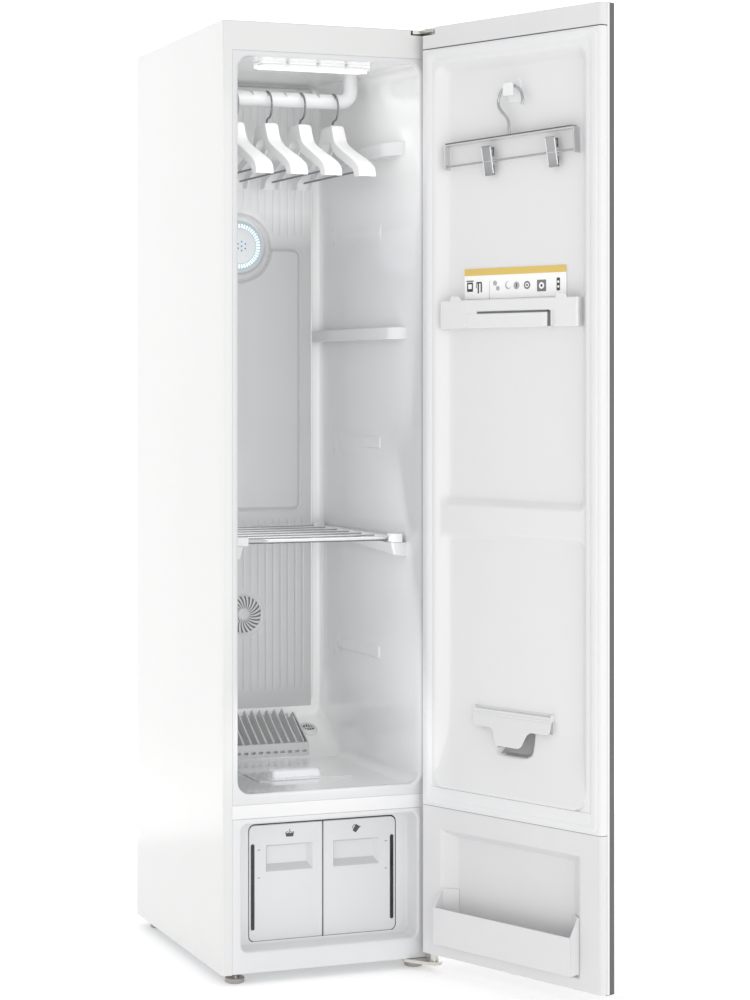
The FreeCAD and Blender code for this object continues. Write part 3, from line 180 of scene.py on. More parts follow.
M = {
    "casing": material("casing_enamel", (0.77, 0.768, 0.765), rough=0.16, vary=0.006, coat=0.35, grain=260, bump=0.012, patch=2.5),
    "trim": material("trim_white_gloss", (0.84, 0.84, 0.845), rough=0.2, vary=0.006, coat=0.2, grain=400, bump=0.01),
    "bezel": material("bezel_moulded_grey", (0.77, 0.775, 0.785), rough=0.34, vary=0.012, grain=900, bump=0.035),
    # darker grey for the liner's front flange: painted shade
    "face": material("liner_face", (0.73, 0.735, 0.745), rough=0.3, vary=0.01, grain=700, bump=0.02),
    # painted light and painted shade are blended into this liner colour further down
    "liner": material("liner_gloss", (0.79, 0.796, 0.80), rough=0.22, vary=0.012, rough_vary=0.03, coat=0.85, grain=300, bump=0.01, patch=4.0),
    # a painted lighter band is blended into this colour further down
    "duct": material("duct_cover_gloss", (0.60, 0.605, 0.612), rough=0.22, vary=0.01, coat=0.6, grain=500, bump=0.015, patch=5.0),
    "ledge": material("ledge_white", (0.74, 0.745, 0.75), rough=0.2, vary=0.008, coat=0.2, grain=500, bump=0.012),
    "outlet": material("outlet_disc_grey", (0.86, 0.89, 0.905), rough=0.28, vary=0.015, grain=700, bump=0.02),
    "led": material("led_ring_light", (0.85, 0.95, 1.0), rough=0.4, vary=0.0, bump=0.0, emit=(0.84, 0.96, 1.0, 0.62)),
    "led_band": material("led_ring_band", (0.60, 0.70, 0.745), rough=0.35, vary=0.01, grain=700, bump=0.01, coat=0.2),
    "led_blue": material("led_blue_port", (0.10, 0.28, 0.55), rough=0.3, vary=0.0, bump=0.0, emit=(0.10, 0.35, 0.8, 0.14)),
    "lamp": material("lamp_lens_light", (0.85, 0.85, 0.85), rough=0.3, vary=0.0, bump=0.0, emit=(1.0, 1.0, 1.0, 0.62)),
    # the faint emission is painted glow: the housing itself is no lamp
    "lampbox": material("lamp_box_white", (0.93, 0.93, 0.935), rough=0.25, vary=0.006, grain=500, bump=0.012, emit=(1.0, 1.0, 1.0, 0.16)),
    "grille": material("grille_grey", (0.50, 0.505, 0.51), rough=0.34, vary=0.02, grain=700, bump=0.03),
    "dark": material("deep_shadow_grey", (0.035, 0.036, 0.038), rough=0.6, vary=0.05, grain=500, bump=0.02),
    # dark grey for gaps and the space behind the grille: painted shade
    "groove": material("gap_grey", (0.16, 0.165, 0.17), rough=0.6, vary=0.04, grain=500, bump=0.02),
    "tray": material("tray_moulded", (0.62, 0.63, 0.635), rough=0.36, vary=0.015, grain=800, bump=0.03),
    "slat_edge": material("slat_edge_light", (0.72, 0.725, 0.73), rough=0.3, vary=0.02, grain=700, bump=0.02),
    "nozzle": material("nozzle_white", (0.80, 0.80, 0.795), rough=0.24, vary=0.008, grain=700, bump=0.015),
    "handle": material("handle_translucent", (0.80, 0.83, 0.845), rough=0.22, vary=0.01, grain=700, bump=0.015, coat=0.2),
    "rail": material("rail_white_gloss", (0.80, 0.805, 0.81), rough=0.24, vary=0.006, coat=0.15, grain=500, bump=0.01),
    "hanger": material("hanger_moulded_white", (0.90, 0.90, 0.90), rough=0.34, vary=0.01, grain=900, bump=0.03),
    "chrome": material("chrome_wire", (0.50, 0.505, 0.515), rough=0.12, metal=1.0, vary=0.02, grain=900, bump=0.02),
    "hookwire": material("hanger_hook_chrome", (0.27, 0.275, 0.285), rough=0.14, metal=1.0, vary=0.05, grain=900, bump=0.03),
    # near-white bead colour: painted highlight along the cover's side edges
    "bead": material("bright_bead", (0.93, 0.93, 0.93), rough=0.2, vary=0.0, grain=500, bump=0.0, coat=0.3),
    "foot": material("foot_chrome", (0.40, 0.385, 0.36), rough=0.16, metal=1.0, vary=0.04, grain=900, bump=0.04),
    "nickel": material("hinge_nickel", (0.66, 0.64, 0.61), rough=0.3, metal=1.0, vary=0.03, grain=300, bump=0.08, brushed=(1.0, 14.0, 1.0)),
    "steel": material("brushed_strip", (0.74, 0.74, 0.745), rough=0.27, metal=1.0, vary=0.02, grain=260, bump=0.06, brushed=(10.0, 10.0, 1.0)),
    "clip_lever": material("clip_lever_steel", (0.40, 0.40, 0.405), rough=0.22, metal=1.0, vary=0.03, grain=500, bump=0.03),
    # near-white with a faint emission: painted highlight on the lever edges
    "clip_rim": material("clip_rim_bright", (0.95, 0.95, 0.955), rough=0.3, metal=0.35, vary=0.01, grain=500, bump=0.01, emit=(1.0, 1.0, 1.0, 0.12)),
    # dark grey for the strip's top edge: painted shade
    "strip_dark": material("strip_dark_edge", (0.20, 0.20, 0.205), rough=0.3, metal=1.0, vary=0.03, grain=260, bump=0.05, brushed=(10.0, 10.0, 1.0)),
    "clip": material("clip_polished", (0.70, 0.70, 0.71), rough=0.2, metal=1.0, vary=0.03, grain=500, bump=0.03),
    "rod_dark": material("trouser_rod", (0.20, 0.21, 0.25), rough=0.35, metal=0.4, vary=0.05, grain=500, bump=0.03),
    "rack": material("rack_white", (0.84, 0.845, 0.85), rough=0.26, vary=0.01, coat=0.1, grain=600, bump=0.015),
    # painted shade on the undersides and a painted highlight on the tops are blended in further down
    "rack_rod": material("rack_rod_steel", (0.50, 0.505, 0.51), rough=0.2, metal=0.9, vary=0.01, coat=0.2, grain=400, bump=0.015),
    # faint emission: painted glow on the plate beside the lens
    "nearplate": material("lamp_plate_white", (0.76, 0.765, 0.77), rough=0.3, vary=0.006, grain=500, bump=0.012, emit=(1.0, 1.0, 1.0, 0.05)),
    # darker grey for the hand recess slopes: painted shade
    "pocket": material("tank_pocket", (0.60, 0.605, 0.615), rough=0.33, vary=0.01, grain=900, bump=0.03),
    "tank": material("tank_front", (0.755, 0.76, 0.77), rough=0.33, vary=0.01, grain=900, bump=0.03),
    "window": material("level_window", (0.022, 0.023, 0.026), rough=0.14, vary=0.03, grain=300, bump=0.01, coat=0.3),
    "icon": material("icon_print", (0.08, 0.082, 0.085), rough=0.5, vary=0.02, grain=900, bump=0.0),
    "mirror": material("door_tinted_mirror", (0.20, 0.205, 0.215), rough=0.045, metal=1.0, vary=0.01, grain=200, bump=0.0),
    "door_metal": material("door_edge_metal", (0.15, 0.152, 0.155), rough=0.3, metal=0.85, vary=0.02, grain=300, bump=0.05, brushed=(12.0, 12.0, 1.0)),
    "door": material("door_moulded_white", (0.835, 0.835, 0.84), rough=0.3, vary=0.002, rough_vary=0.004, grain=800, bump=0.022, coat=0.08),
    "door_grey": material("door_moulded_grey", (0.765, 0.765, 0.772), rough=0.33, vary=0.01, grain=900, bump=0.03),
    "seal": material("seal_white_rubber", (0.83, 0.832, 0.84), rough=0.34, vary=0.012, grain=900, bump=0.05),
    "hook": material("hook_white", (0.90, 0.905, 0.91), rough=0.26, vary=0.006, grain=700, bump=0.012),
    "seam": material("seam_shade", (0.34, 0.34, 0.345), rough=0.5, vary=0.02, grain=500, bump=0.02),
    "hollow": material("finger_hollow_shade", (0.47, 0.47, 0.475), rough=0.5, vary=0.05, grain=500, bump=0.02),
    "flap": material("clamp_grey", (0.80, 0.80, 0.805), rough=0.3, vary=0.012, grain=800, bump=0.02),
    # faint emission: painted glow that brightens the paper
    "card": material("card_paper", (0.97, 0.97, 0.965), rough=0.45, vary=0.01, grain=1400, bump=0.04, emit=(1.0, 1.0, 1.0, 0.08)),
    "card_band": material("card_yellow_band", (0.80, 0.58, 0.16), rough=0.45, vary=0.02, grain=1400, bump=0.04),
    "card_print": material("card_print_grey", (0.06, 0.062, 0.065), rough=0.5, vary=0.03, grain=1400, bump=0.0),
    "card_grey": material("card_print_mid", (0.22, 0.225, 0.23), rough=0.5, vary=0.02, grain=1400, bump=0.0),
    "card_light": material("card_print_light", (0.48, 0.49, 0.50), rough=0.5, vary=0.02, grain=1400, bump=0.0),
    "rod_steel": material("steel_rod", (0.50, 0.50, 0.51), rough=0.25, metal=1.0, vary=0.02, grain=400, bump=0.03),
    "zinc": material("zinc_sheet", (0.55, 0.565, 0.58), rough=0.4, metal=0.8, vary=0.06, grain=200, bump=0.05, patch=30.0),
    "black": material("machine_black", (0.03, 0.03, 0.032), rough=0.42, vary=0.1, grain=500, bump=0.05),
    "alu": material("fin_aluminium", (0.62, 0.63, 0.64), rough=0.34, metal=1.0, vary=0.03, grain=300, bump=0.08, brushed=(1.0, 1.0, 40.0)),
    "board": material("circuit_green", (0.03, 0.14, 0.06), rough=0.4, vary=0.08, grain=900, bump=0.05),
    "plastic_dark": material("blower_plastic", (0.12, 0.125, 0.13), rough=0.42, vary=0.05, grain=900, bump=0.04),
}


def mesh_material(name, color, pitch=1.1):
    # a fine woven mesh: small dark openings in a light net
    m = material(name, color, rough=0.42, metal=0.0, vary=0.02, grain=700, bump=0.03)
    nt = m.node_tree
    b = nt.nodes["Principled BSDF"]
    tc = nt.nodes.new("ShaderNodeTexCoord")
    mp = nt.nodes.new("ShaderNodeMapping")
    mp.inputs["Scale"].default_value = (1000.0 / pitch,) * 3
    nt.links.new(tc.outputs["Object"], mp.inputs["Vector"])
    sx = nt.nodes.new("ShaderNodeSeparateXYZ")
    nt.links.new(mp.outputs["Vector"], sx.inputs[0])

    def wave(sock):
        n = nt.nodes.new("ShaderNodeMath")
        n.operation = "PINGPONG"
        n.inputs[1].default_value = 0.5
        nt.links.new(sock, n.inputs[0])
        return n.outputs[0]
    mx = nt.nodes.new("ShaderNodeMath")
    mx.operation = "MINIMUM"
    nt.links.new(wave(sx.outputs[1]), mx.inputs[0])
    nt.links.new(wave(sx.outputs[2]), mx.inputs[1])
    col = ramp_node(nt, mx.outputs[0], [(0.26, color), (0.36, tuple(c * 0.72 for c in color))])
    nt.links.new(col, b.inputs["Base Color"])
    return m


M["slat"] = mesh_material("slat_mesh", (0.80, 0.80, 0.805))


# ------------------------------------------------------------------ mesh building
def make(name, verts, faces, mat, body, space=cab, smooth=32.0, bevel=None, solid=None, sub=0, replaces=(), slot=None):
    me = bpy.data.meshes.new(name)
    me.from_pydata([tuple(p) for p in space(verts)], [], [tuple(f) for f in faces])
    me.validate()
    if smooth:
        me.polygons.foreach_set("use_smooth", [True] * len(me.polygons))
        me.set_sharp_from_angle(angle=math.radians(smooth))
    ob = bpy.data.objects.new(name, me)
    bpy.context.scene.collection.objects.link(ob)
    me.materials.append(M[mat] if isinstance(mat, str) else mat)
    if solid:
        md = ob.modifiers.new("thickness", "SOLIDIFY")
        md.thickness = abs(solid) / 1000.0
        md.offset = -1.0 if solid > 0 else 1.0
    if bevel:
        md = ob.modifiers.new("edges", "BEVEL")
        md.width = bevel[0] / 1000.0
        md.segments = bevel[1] if len(bevel) > 1 else 3
        md.limit_method = "ANGLE"
        md.angle_limit = math.radians(bevel[2] if len(bevel) > 2 else 35)
        md.harden_normals = True
    if sub:
        md = ob.modifiers.new("smooth", "SUBSURF")
        md.levels = md.render_levels = sub
    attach(ob, body)
    if replaces:
        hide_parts(*replaces)
    return ob


def join(*parts):
    verts, faces = [], []
    for v, f in parts:
        k = len(verts)
        verts += [tuple(p) for p in v]
        faces += [tuple(i + k for i in q) for q in f]
    return verts, faces


def rbox(x0, x1, y0, y1, z0, z1):
    v = [(x, y, z) for z in (z0, z1) for y in (y0, y1) for x in (x0, x1)]
    f = [(0, 2, 3, 1), (4, 5, 7, 6), (0, 1, 5, 4), (2, 6, 7, 3), (0, 4, 6, 2), (1, 3, 7, 5)]
    return v, f


def outline(pts, radii, seg=6):
    # a closed 2-D outline with rounded corners
    n = len(pts)
    if not isinstance(radii, (list, tuple)):
        radii = [radii] * n
    out = []
    for i in range(n):
        a, b, c = (np.array(pts[(i + k) % n], float) for k in (-1, 0, 1))
        r = radii[i]
        if r <= 0:
            out.append(tuple(b))
            continue
        u, w = (a - b) / np.linalg.norm(a - b), (c - b) / np.linalg.norm(c - b)
        ang = math.acos(max(-1, min(1, float(u @ w)))) / 2
        back = min(r / math.tan(ang), np.linalg.norm(a - b) * 0.49, np.linalg.norm(c - b) * 0.49)
        r = back * math.tan(ang)
        o = b + (u + w) / np.linalg.norm(u + w) * (r / math.sin(ang))
        p, q = b + u * back, b + w * back
        a0, a1 = math.atan2(*(p - o)[::-1]), math.atan2(*(q - o)[::-1])
        d = (a1 - a0 + math.pi) % (2 * math.pi) - math.pi
        for k in range(seg + 1):
            t = a0 + d * k / seg
            out.append((o[0] + r * math.cos(t), o[1] + r * math.sin(t)))
    return out


def prism(pts, plane, a, b):
    # extrudes an outline: plane "xz" runs along y, "xy" along z, "yz" along x
    def at(p, t):
        return {"xz": (p[0], t, p[1]), "xy": (p[0], p[1], t), "yz": (t, p[0], p[1])}[plane]
    n = len(pts)
    area = sum(pts[i][0] * pts[(i + 1) % n][1] - pts[(i + 1) % n][0] * pts[i][1] for i in range(n))
    flip = (area < 0) != (plane == "xz")
    v = [at(p, a) for p in pts] + [at(p, b) for p in pts]
    f = [tuple(range(n))[::-1], tuple(range(n, 2 * n))] + [(i, (i + 1) % n, n + (i + 1) % n, n + i) for i in range(n)]
    if flip:
        f = [q[::-1] for q in f]
    return v, f


def loft(rings, close=True, caps=(False, False), flip=False):
    n = len(rings[0])
    v = [tuple(p) for r in rings for p in r]
    f = []
    for k in range(len(rings) - 1):
        for i in range(n if close else n - 1):
            j = (i + 1) % n
            f.append((k * n + i, k * n + j, (k + 1) * n + j, (k + 1) * n + i))
    if caps[0]:
        f.append(tuple(range(n))[::-1])
    if caps[1]:
        f.append(tuple((len(rings) - 1) * n + i for i in range(n)))
    if flip:
        f = [q[::-1] for q in f]
    return v, f


def tube(pts, r, seg=16, caps=True):
    pts = [np.array(p, float) for p in pts]
    rs = r if isinstance(r, (list, tuple)) else [r] * len(pts)
    t0 = pts[1] - pts[0]
    t0 /= np.linalg.norm(t0)
    ref = np.array([0, 0, 1.0]) if abs(t0[2]) < 0.9 else np.array([1.0, 0, 0])
    u = np.cross(t0, ref)
    u /= np.linalg.norm(u)
    rings = []
    for i, p in enumerate(pts):
        a, b = pts[max(0, i - 1)], pts[min(len(pts) - 1, i + 1)]
        t = (b - a) / np.linalg.norm(b - a)
        u = u - t * (u @ t)
        u /= np.linalg.norm(u)
        w = np.cross(t, u)
        rings.append([p + rs[i] * (u * math.cos(q) + w * math.sin(q)) for q in np.linspace(0, 2 * math.pi, seg, endpoint=False)])
    return loft(rings, caps=(caps, caps))


def arc(c, r, a0, a1, n, plane="xz", fixed=0.0):
    out = []
    for a in np.radians(np.linspace(a0, a1, n)):
        p, q = c[0] + r * math.cos(a), c[1] + r * math.sin(a)
        out.append({"xz": (p, fixed, q), "yz": (fixed, p, q), "xy": (p, q, fixed)}[plane])
    return out


def revolve(profile, centre, axis="y", seg=64, caps=(False, False)):
    # profile is (radius, distance along the axis)
    rings = []
    for r, d in profile:
        ring = []
        for a in np.linspace(0, 2 * math.pi, seg, endpoint=False):
            c, s = r * math.cos(a), r * math.sin(a)
            ring.append({"y": (centre[0] + c, centre[1] + d, centre[2] + s), "z": (centre[0] + c, centre[1] + s, centre[2] + d),
                         "x": (centre[0] + d, centre[1] + c, centre[2] + s)}[axis])
        rings.append(ring)
    return loft(rings, caps=caps)


def sheet_grid(us, vs, fn, flip=False):
    U, V_ = np.meshgrid(np.asarray(us, float), np.asarray(vs, float))
    P = fn(U, V_)
    verts = np.stack([p.ravel() for p in P], 1)
    nu, nv = len(us), len(vs)
    i = np.arange(nu * nv).reshape(nv, nu)
    q = np.stack([i[:-1, :-1], i[:-1, 1:], i[1:, 1:], i[1:, :-1]], -1).reshape(-1, 4)
    if flip:
        q = q[:, ::-1]
    return verts.tolist(), q.tolist()


def lines(a, b, step, extra=(), near=()):
    out = list(np.arange(a, b, step)) + [b] + list(extra)
    for c, w, k in near:
        out += list(np.linspace(c - w, c + w, k))
    out = sorted(p for p in out if a - 1e-6 <= p <= b + 1e-6)
    res = [out[0]]
    for p in out[1:]:
        if p - res[-1] > 0.25:
            res.append(p)
    res[-1] = b
    return res


def sstep(t):
    t = np.clip(t, 0, 1)
    return t * t * (3 - 2 * t)


def sd_rrect(x, z, cx, cz, hx, hz, r):
    # distance to a rounded rectangle, negative inside
    qx, qz = np.abs(x - cx) - (hx - r), np.abs(z - cz) - (hz - r)
    return np.hypot(np.maximum(qx, 0), np.maximum(qz, 0)) + np.minimum(np.maximum(qx, qz), 0) - r


def rrect(x0, x1, z0, z1, r, seg=8, sides=(1, 1, 1, 1), y=0.0, r2=None):
    # points of a rounded rectangle, from the lower left corner; sides divide bottom, right, top, left
    r2 = r if r2 is None else r2
    cs = [(x0 + r, z0 + r, 180, r), (x1 - r, z0 + r, 270, r), (x1 - r2, z1 - r2, 0, r2), (x0 + r2, z1 - r2, 90, r2)]
    out = []
    corner = []
    for cx, cz, a0, rr in cs:
        corner.append([(cx + rr * math.cos(math.radians(a0 + 90 * k / seg)), y, cz + rr * math.sin(math.radians(a0 + 90 * k / seg))) for k in range(seg + 1)])
    for i in range(4):
        out += corner[i]
        p, q = np.array(corner[i][-1]), np.array(corner[(i + 1) % 4][0])
        ts = sides[i]
        ts = [k / ts for k in range(1, ts)] if isinstance(ts, int) else ts
        out += [tuple(p + (q - p) * t) for t in ts]
    return out

# painted shade on the rods' undersides and a painted highlight on their tops
paint_light_and_shade(M["rack_rod"], (0.22, 0.22, 0.225), normal_z=(-0.05, -0.55))
paint_light_and_shade(M["rack_rod"], (0.88, 0.88, 0.885), normal_z=(0.30, 0.75))
MM = 0.001
# painted light: the ramp between floor and back wall lightened toward white
A0, A1 = cab([(0, 380, 545)])[0], cab([(0, 470, 500)])[0]
paint_light_and_shade(M["liner"], (1.0, 1.0, 1.0), y=(A0[1], A1[1]), z=(A0[2], A1[2]), amount=0.9)
B0, B1 = cab([(158, 480, 0)])[0], cab([(161, 486, 0)])[0]
# painted light: the liner turns lighter from about 1400 mm up
D0, D1 = cab([(0, 0, 1400)])[0], cab([(0, 0, 1680)])[0]
paint_light_and_shade(M["liner"], (1.0, 1.0, 1.0), z=(D0[2], D1[2]), amount=0.95)
# painted light: the liner is a little lighter below about 640 mm
F0, F1 = cab([(0, 0, 640)])[0], cab([(0, 0, 540)])[0]
paint_light_and_shade(M["liner"], (1.0, 1.0, 1.0), z=(F0[2], F1[2]), amount=0.25)
# painted light: the duct cover turns lighter from about 1440 mm up
E0, E1 = cab([(0, 0, 1440)])[0], cab([(0, 0, 1520)])[0]
paint_light_and_shade(M["duct"], (0.98, 0.985, 0.99), z=(E0[2], E1[2]), amount=0.8)
# painted shade: the low liner darkens toward the left, below about 470 mm
C0, C1 = cab([(60, 0, 470)])[0], cab([(-120, 0, 380)])[0]
paint_light_and_shade(M["liner"], (0.50, 0.505, 0.51), x=(C0[0], C1[0]), z=(C0[2], C1[2]), amount=0.8)
# painted highlight: a near-white strip on the liner beside the cover's edge bead
paint_light_and_shade(M["liner"], (0.98, 0.99, 0.99), x=(B0[0], B1[0]), y=(B0[1], B1[1]), amount=0.95)


def holed(outer, holes, plane, a, b):
    # a flat plate with openings, a to b thick
    cu = bpy.data.curves.new("tmp_plate", "CURVE")
    cu.dimensions = "2D"
    cu.fill_mode = "BOTH"
    cu.extrude = abs(b - a) / 2
    for pts in [outer] + list(holes):
        s = cu.splines.new("POLY")
        s.points.add(len(pts) - 1)
        for p, q in zip(s.points, pts):
            p.co = (q[0], q[1], 0, 1)
        s.use_cyclic_u = True
    tmp = bpy.data.objects.new("tmp_plate", cu)
    bpy.context.scene.collection.objects.link(tmp)
    bpy.context.view_layer.update()
    me = bpy.data.meshes.new_from_object(tmp.evaluated_get(bpy.context.evaluated_depsgraph_get()))
    mid = (a + b) / 2
    at = {"xz": lambda p: (p[0], mid - p[2], p[1]), "xy": lambda p: (p[0], p[1], mid + p[2]), "yz": lambda p: (mid + p[2], p[0], p[1])}[plane]
    v = [at(p.co) for p in me.vertices]
    f = [tuple(q.vertices) for q in me.polygons]
    bpy.data.objects.remove(tmp)
    bpy.data.curves.remove(cu)
    bpy.data.meshes.remove(me)
    import bmesh
    bm = bmesh.new()
    vs = [bm.verts.new(p) for p in v]
    for q in f:
        try:
            bm.faces.new([vs[i] for i in q])
        except ValueError:
            pass
    bmesh.ops.remove_doubles(bm, verts=bm.verts, dist=0.01)
    bm.verts.index_update()
    out = [tuple(p.co) for p in bm.verts], [tuple(p.index for p in q.verts) for q in bm.faces]
    bm.free()
    return out


# ------------------------------------------------------------------ camera
YAW = math.radians(19.84)
cam_data = bpy.data.cameras.new("camera")
cam = bpy.data.objects.new("camera", cam_data)
bpy.context.scene.collection.objects.link(cam)
cam.location = cab([(-1674.2, -4092.8, 1154.1)])[0]
cam.rotation_euler = (math.pi / 2, 0, -YAW)
cam_data.sensor_fit = "HORIZONTAL"
cam_data.sensor_width = 36.0
cam_data.lens = 2277.8 / 750.0 * 36.0
cam_data.shift_x = (375.0 - 235.0) / 750.0
cam_data.shift_y = -(500.0 - 381.6) / 750.0
cam_data.clip_end = 60.0
bpy.context.scene.camera = cam

# ------------------------------------------------------------------ materials for the CAD nodes; the ones replaced further down are hidden there
for node, mat in {
        "outer_casing": "casing", "header_panel": "casing", "crossbar_trim": "trim", "base_frame": "zinc", "back_panel": "zinc",
        "tank_bay_bezel": "bezel", "cavity_liner": "liner", "rear_duct_cover": "duct", "air_outlet": "outlet", "fan_grille": "grille",
        "lamp_housing": "lampbox", "lamp_lens": "lamp", "steam_tray": "tray", "steam_slats": "slat", "steam_nozzle": "nozzle",
        "lint_filter": "handle", "compressor": "black", "heat_exchanger": "alu", "steam_generator": "alu", "blower_housing": "plastic_dark",
        "blower_wheel": "plastic_dark", "control_board": "board", "rail_motor": "steel", "rail_crank": "steel", "power_inlet": "black",
        "hinge_upper": "nickel", "hinge_lower": "nickel", "front_foot_left": "foot", "front_foot_right": "foot", "rear_feet": "foot",
        "hanger_rail": "rail", "rack_sides": "rack", "rack_rods": "rack_rod", "supply_tank": "tank", "supply_window": "window",
        "drain_tank": "tank", "drain_window": "window", "door_glass": "mirror", "door_frame": "door_metal", "door_liner": "door",
        "door_lower_liner": "door_grey", "door_cap": "door_grey", "door_gasket": "seal", "door_bin": "door_grey", "holder_pocket": "door",
        "door_hook": "hook", "hem_clamp_base": "flap", "hem_clamp_flap": "flap", "clip_hanger_hook": "chrome", "clip_hanger_bar": "steel",
        "clip_left": "clip", "clip_right": "clip"}.items():
    me = NODES[node].data
    me.materials.clear()
    me.materials.append(M[mat])
for k in range(1, 5):
    for part, mat in (("body", "hanger"), ("hook", "chrome")):
        me = NODES["hanger_%d_%s" % (k, part)].data
        me.materials.clear()
        me.materials.append(M[mat])

# ------------------------------------------------------------------ cavity liner
F_Z, R_Y, R_Z, C_D = 361.0, 375.0, 430.0, 500.0


def half_w(y):
    return 190.0 - 10.5 * y / C_D


def floor_z(y):
    # flat, then a ramp, with a soft bend between them
    t = (y - R_Y + 5) / 10.0
    k = (R_Z - F_Z) / (C_D - R_Y)
    if t <= 0:
        return F_Z
    if t >= 1:
        return F_Z + k * (y - R_Y)
    return F_Z + k * 5 * t * t


def ceil_z(y):
    return 1779.0 + 13.0 * y / C_D


PADS = [(184, 426, 1451, 1475), (186, 424, 1018, 1042), (190, 420, 588, 612)]
wall_z = lines(F_Z + 25, 1779 - 25, 14, near=[(z, 3.2, 6) for p in PADS for z in p[2:]])
wall_t = [(z - wall_z[0]) / (wall_z[-1] - wall_z[0]) for z in wall_z[1:-1]]
floor_t = 26


def stage(y, inset=0.0, shift=0.0, r=25.0):
    hw = half_w(y) - inset
    ring = rrect(-hw, hw, floor_z(y) + inset, ceil_z(y) - inset, max(2.0, r - inset), seg=8,
                 sides=(floor_t, wall_t, floor_t, [1 - t for t in reversed(wall_t)]), y=y + shift)
    out = []
    for x, yy, z in ring:
        d = 0.0
        if abs(x) > hw - 0.5 and inset == 0:
            for a, b, lo, hi in PADS:
                e = sd_rrect(y, z, (a + b) / 2, (lo + hi) / 2, (b - a) / 2, (hi - lo) / 2, 4.0)
                d = max(d, 2.2 * float(sstep((1.2 - e) / 2.4)))
        out.append((x - math.copysign(d, x), yy, z))
    return out


rings = []
sides = (floor_t, wall_t, floor_t, [1 - t for t in reversed(wall_t)])
rings.append(rrect(-203.2, 203.2, 343.0, 1789.0, 0.6, seg=8, sides=sides, y=9.0))
rings.append(rrect(-203.2, 203.2, 343.0, 1789.0, 0.6, seg=8, sides=sides, y=1.2))
rings.append(rrect(-202.4, 202.4, 343.8, 1788.2, 0.9, seg=8, sides=sides, y=0.25))
rings.append(rrect(-201.4, 201.4, 344.8, 1787.2, 1.2, seg=8, sides=sides, y=0.0))
for k in range(7):
    a = math.radians(90 * k / 6)
    g = 6.0 * (1 - math.sin(a))
    rings.append(rrect(-190.4 - g, 190.4 + g, 363.5 - g, 1778.5 + g, 25 + g, seg=8, sides=sides, y=6.0 * (1 - math.cos(a))))
ys = lines(12, C_D - 7, 16, extra=(368, 370, 372, 374, 376, 378, 380, 382), near=[(v, 3.2, 6) for p in PADS for v in p[:2]])
for y in ys:
    rings.append(stage(y))
for k in range(1, 8):
    a = math.radians(90 * k / 7)
    inset = 7.0 * (1 - math.cos(a))
    y = C_D - 7 + 7 * math.sin(a)
    rings.append(stage(y, inset=inset, r=25.0))
lin_v, lin_f = loft(rings)
back_v, back_f = sheet_grid(lines(-174, 174, 40), lines(434, 1786, 90), lambda x, z: (x, np.full_like(x, C_D - 0.02), z))
n_face = len(rings[0]) * 4
liner = make("cavity_liner_skin", *join((lin_v, lin_f), (back_v, back_f)), "liner", "cabinet", smooth=40, replaces=["cavity_liner"], slot="liner_grey")
# the front flange faces take the darker grey: painted shade
liner.data.materials.append(M["face"])
nring = len(rings[0])
for p in liner.data.polygons:
    if max(p.vertices) < nring * 10:
        p.material_index = 1

# ledges on both side walls
for side, tag in ((1, "right"), (-1, "left")):
    for nm, z0, z1, ya, yb, depth, nose in (("upper", 1608.0, 1635.0, 69, 497, 24, 70), ("middle", 1239.0, 1263.0, 62, 497, 23, 46)):
        plan = [(side * (half_w(ya) + 1.5), ya - 6)]
        for t in np.linspace(0, 1, 14):
            y = ya + nose * t
            plan.append((side * (half_w(y) - depth * float(sstep(t)) ** 0.8), y))
        for t in np.linspace(0.1, 1, 6):
            y = ya + nose + (yb - ya - nose) * t
            plan.append((side * (half_w(y) - depth), y))
        plan.append((side * (half_w(yb) + 1.5), yb))
        if side < 0:
            plan = plan[::-1]
        make("ledge_%s_%s" % (nm, tag), *prism(plan, "xy", z0, z1), "ledge", "cabinet", bevel=(3.2, 4, 50), slot="liner_grey")
    br = []
    for y, drop, inner in ((63, 26.5, 158), (66, 28.5, 156), (110, 25.0, 155), (250, 16.5, 154.5), (400, 8.5, 154), (480, 4.5, 154)):
        wx_ = half_w(y) + 1.5
        br.append([(side * inner, y, 833.7), (side * wx_, y, 833.7), (side * wx_, y, 833.7 - drop), (side * (wx_ - 6), y, 833.7 - drop),
                   (side * (inner + 6.0), y, 833.7 - drop * 0.86)])
    make("ledge_rack_%s" % tag, *loft(br, caps=(True, True), flip=(side > 0)), "ledge", "cabinet", bevel=(1.2, 3, 30), slot="liner_grey")

# ------------------------------------------------------------------ duct cover with its ribs
OX, OZ, GZ = -10.8, 1444.0, 655.0


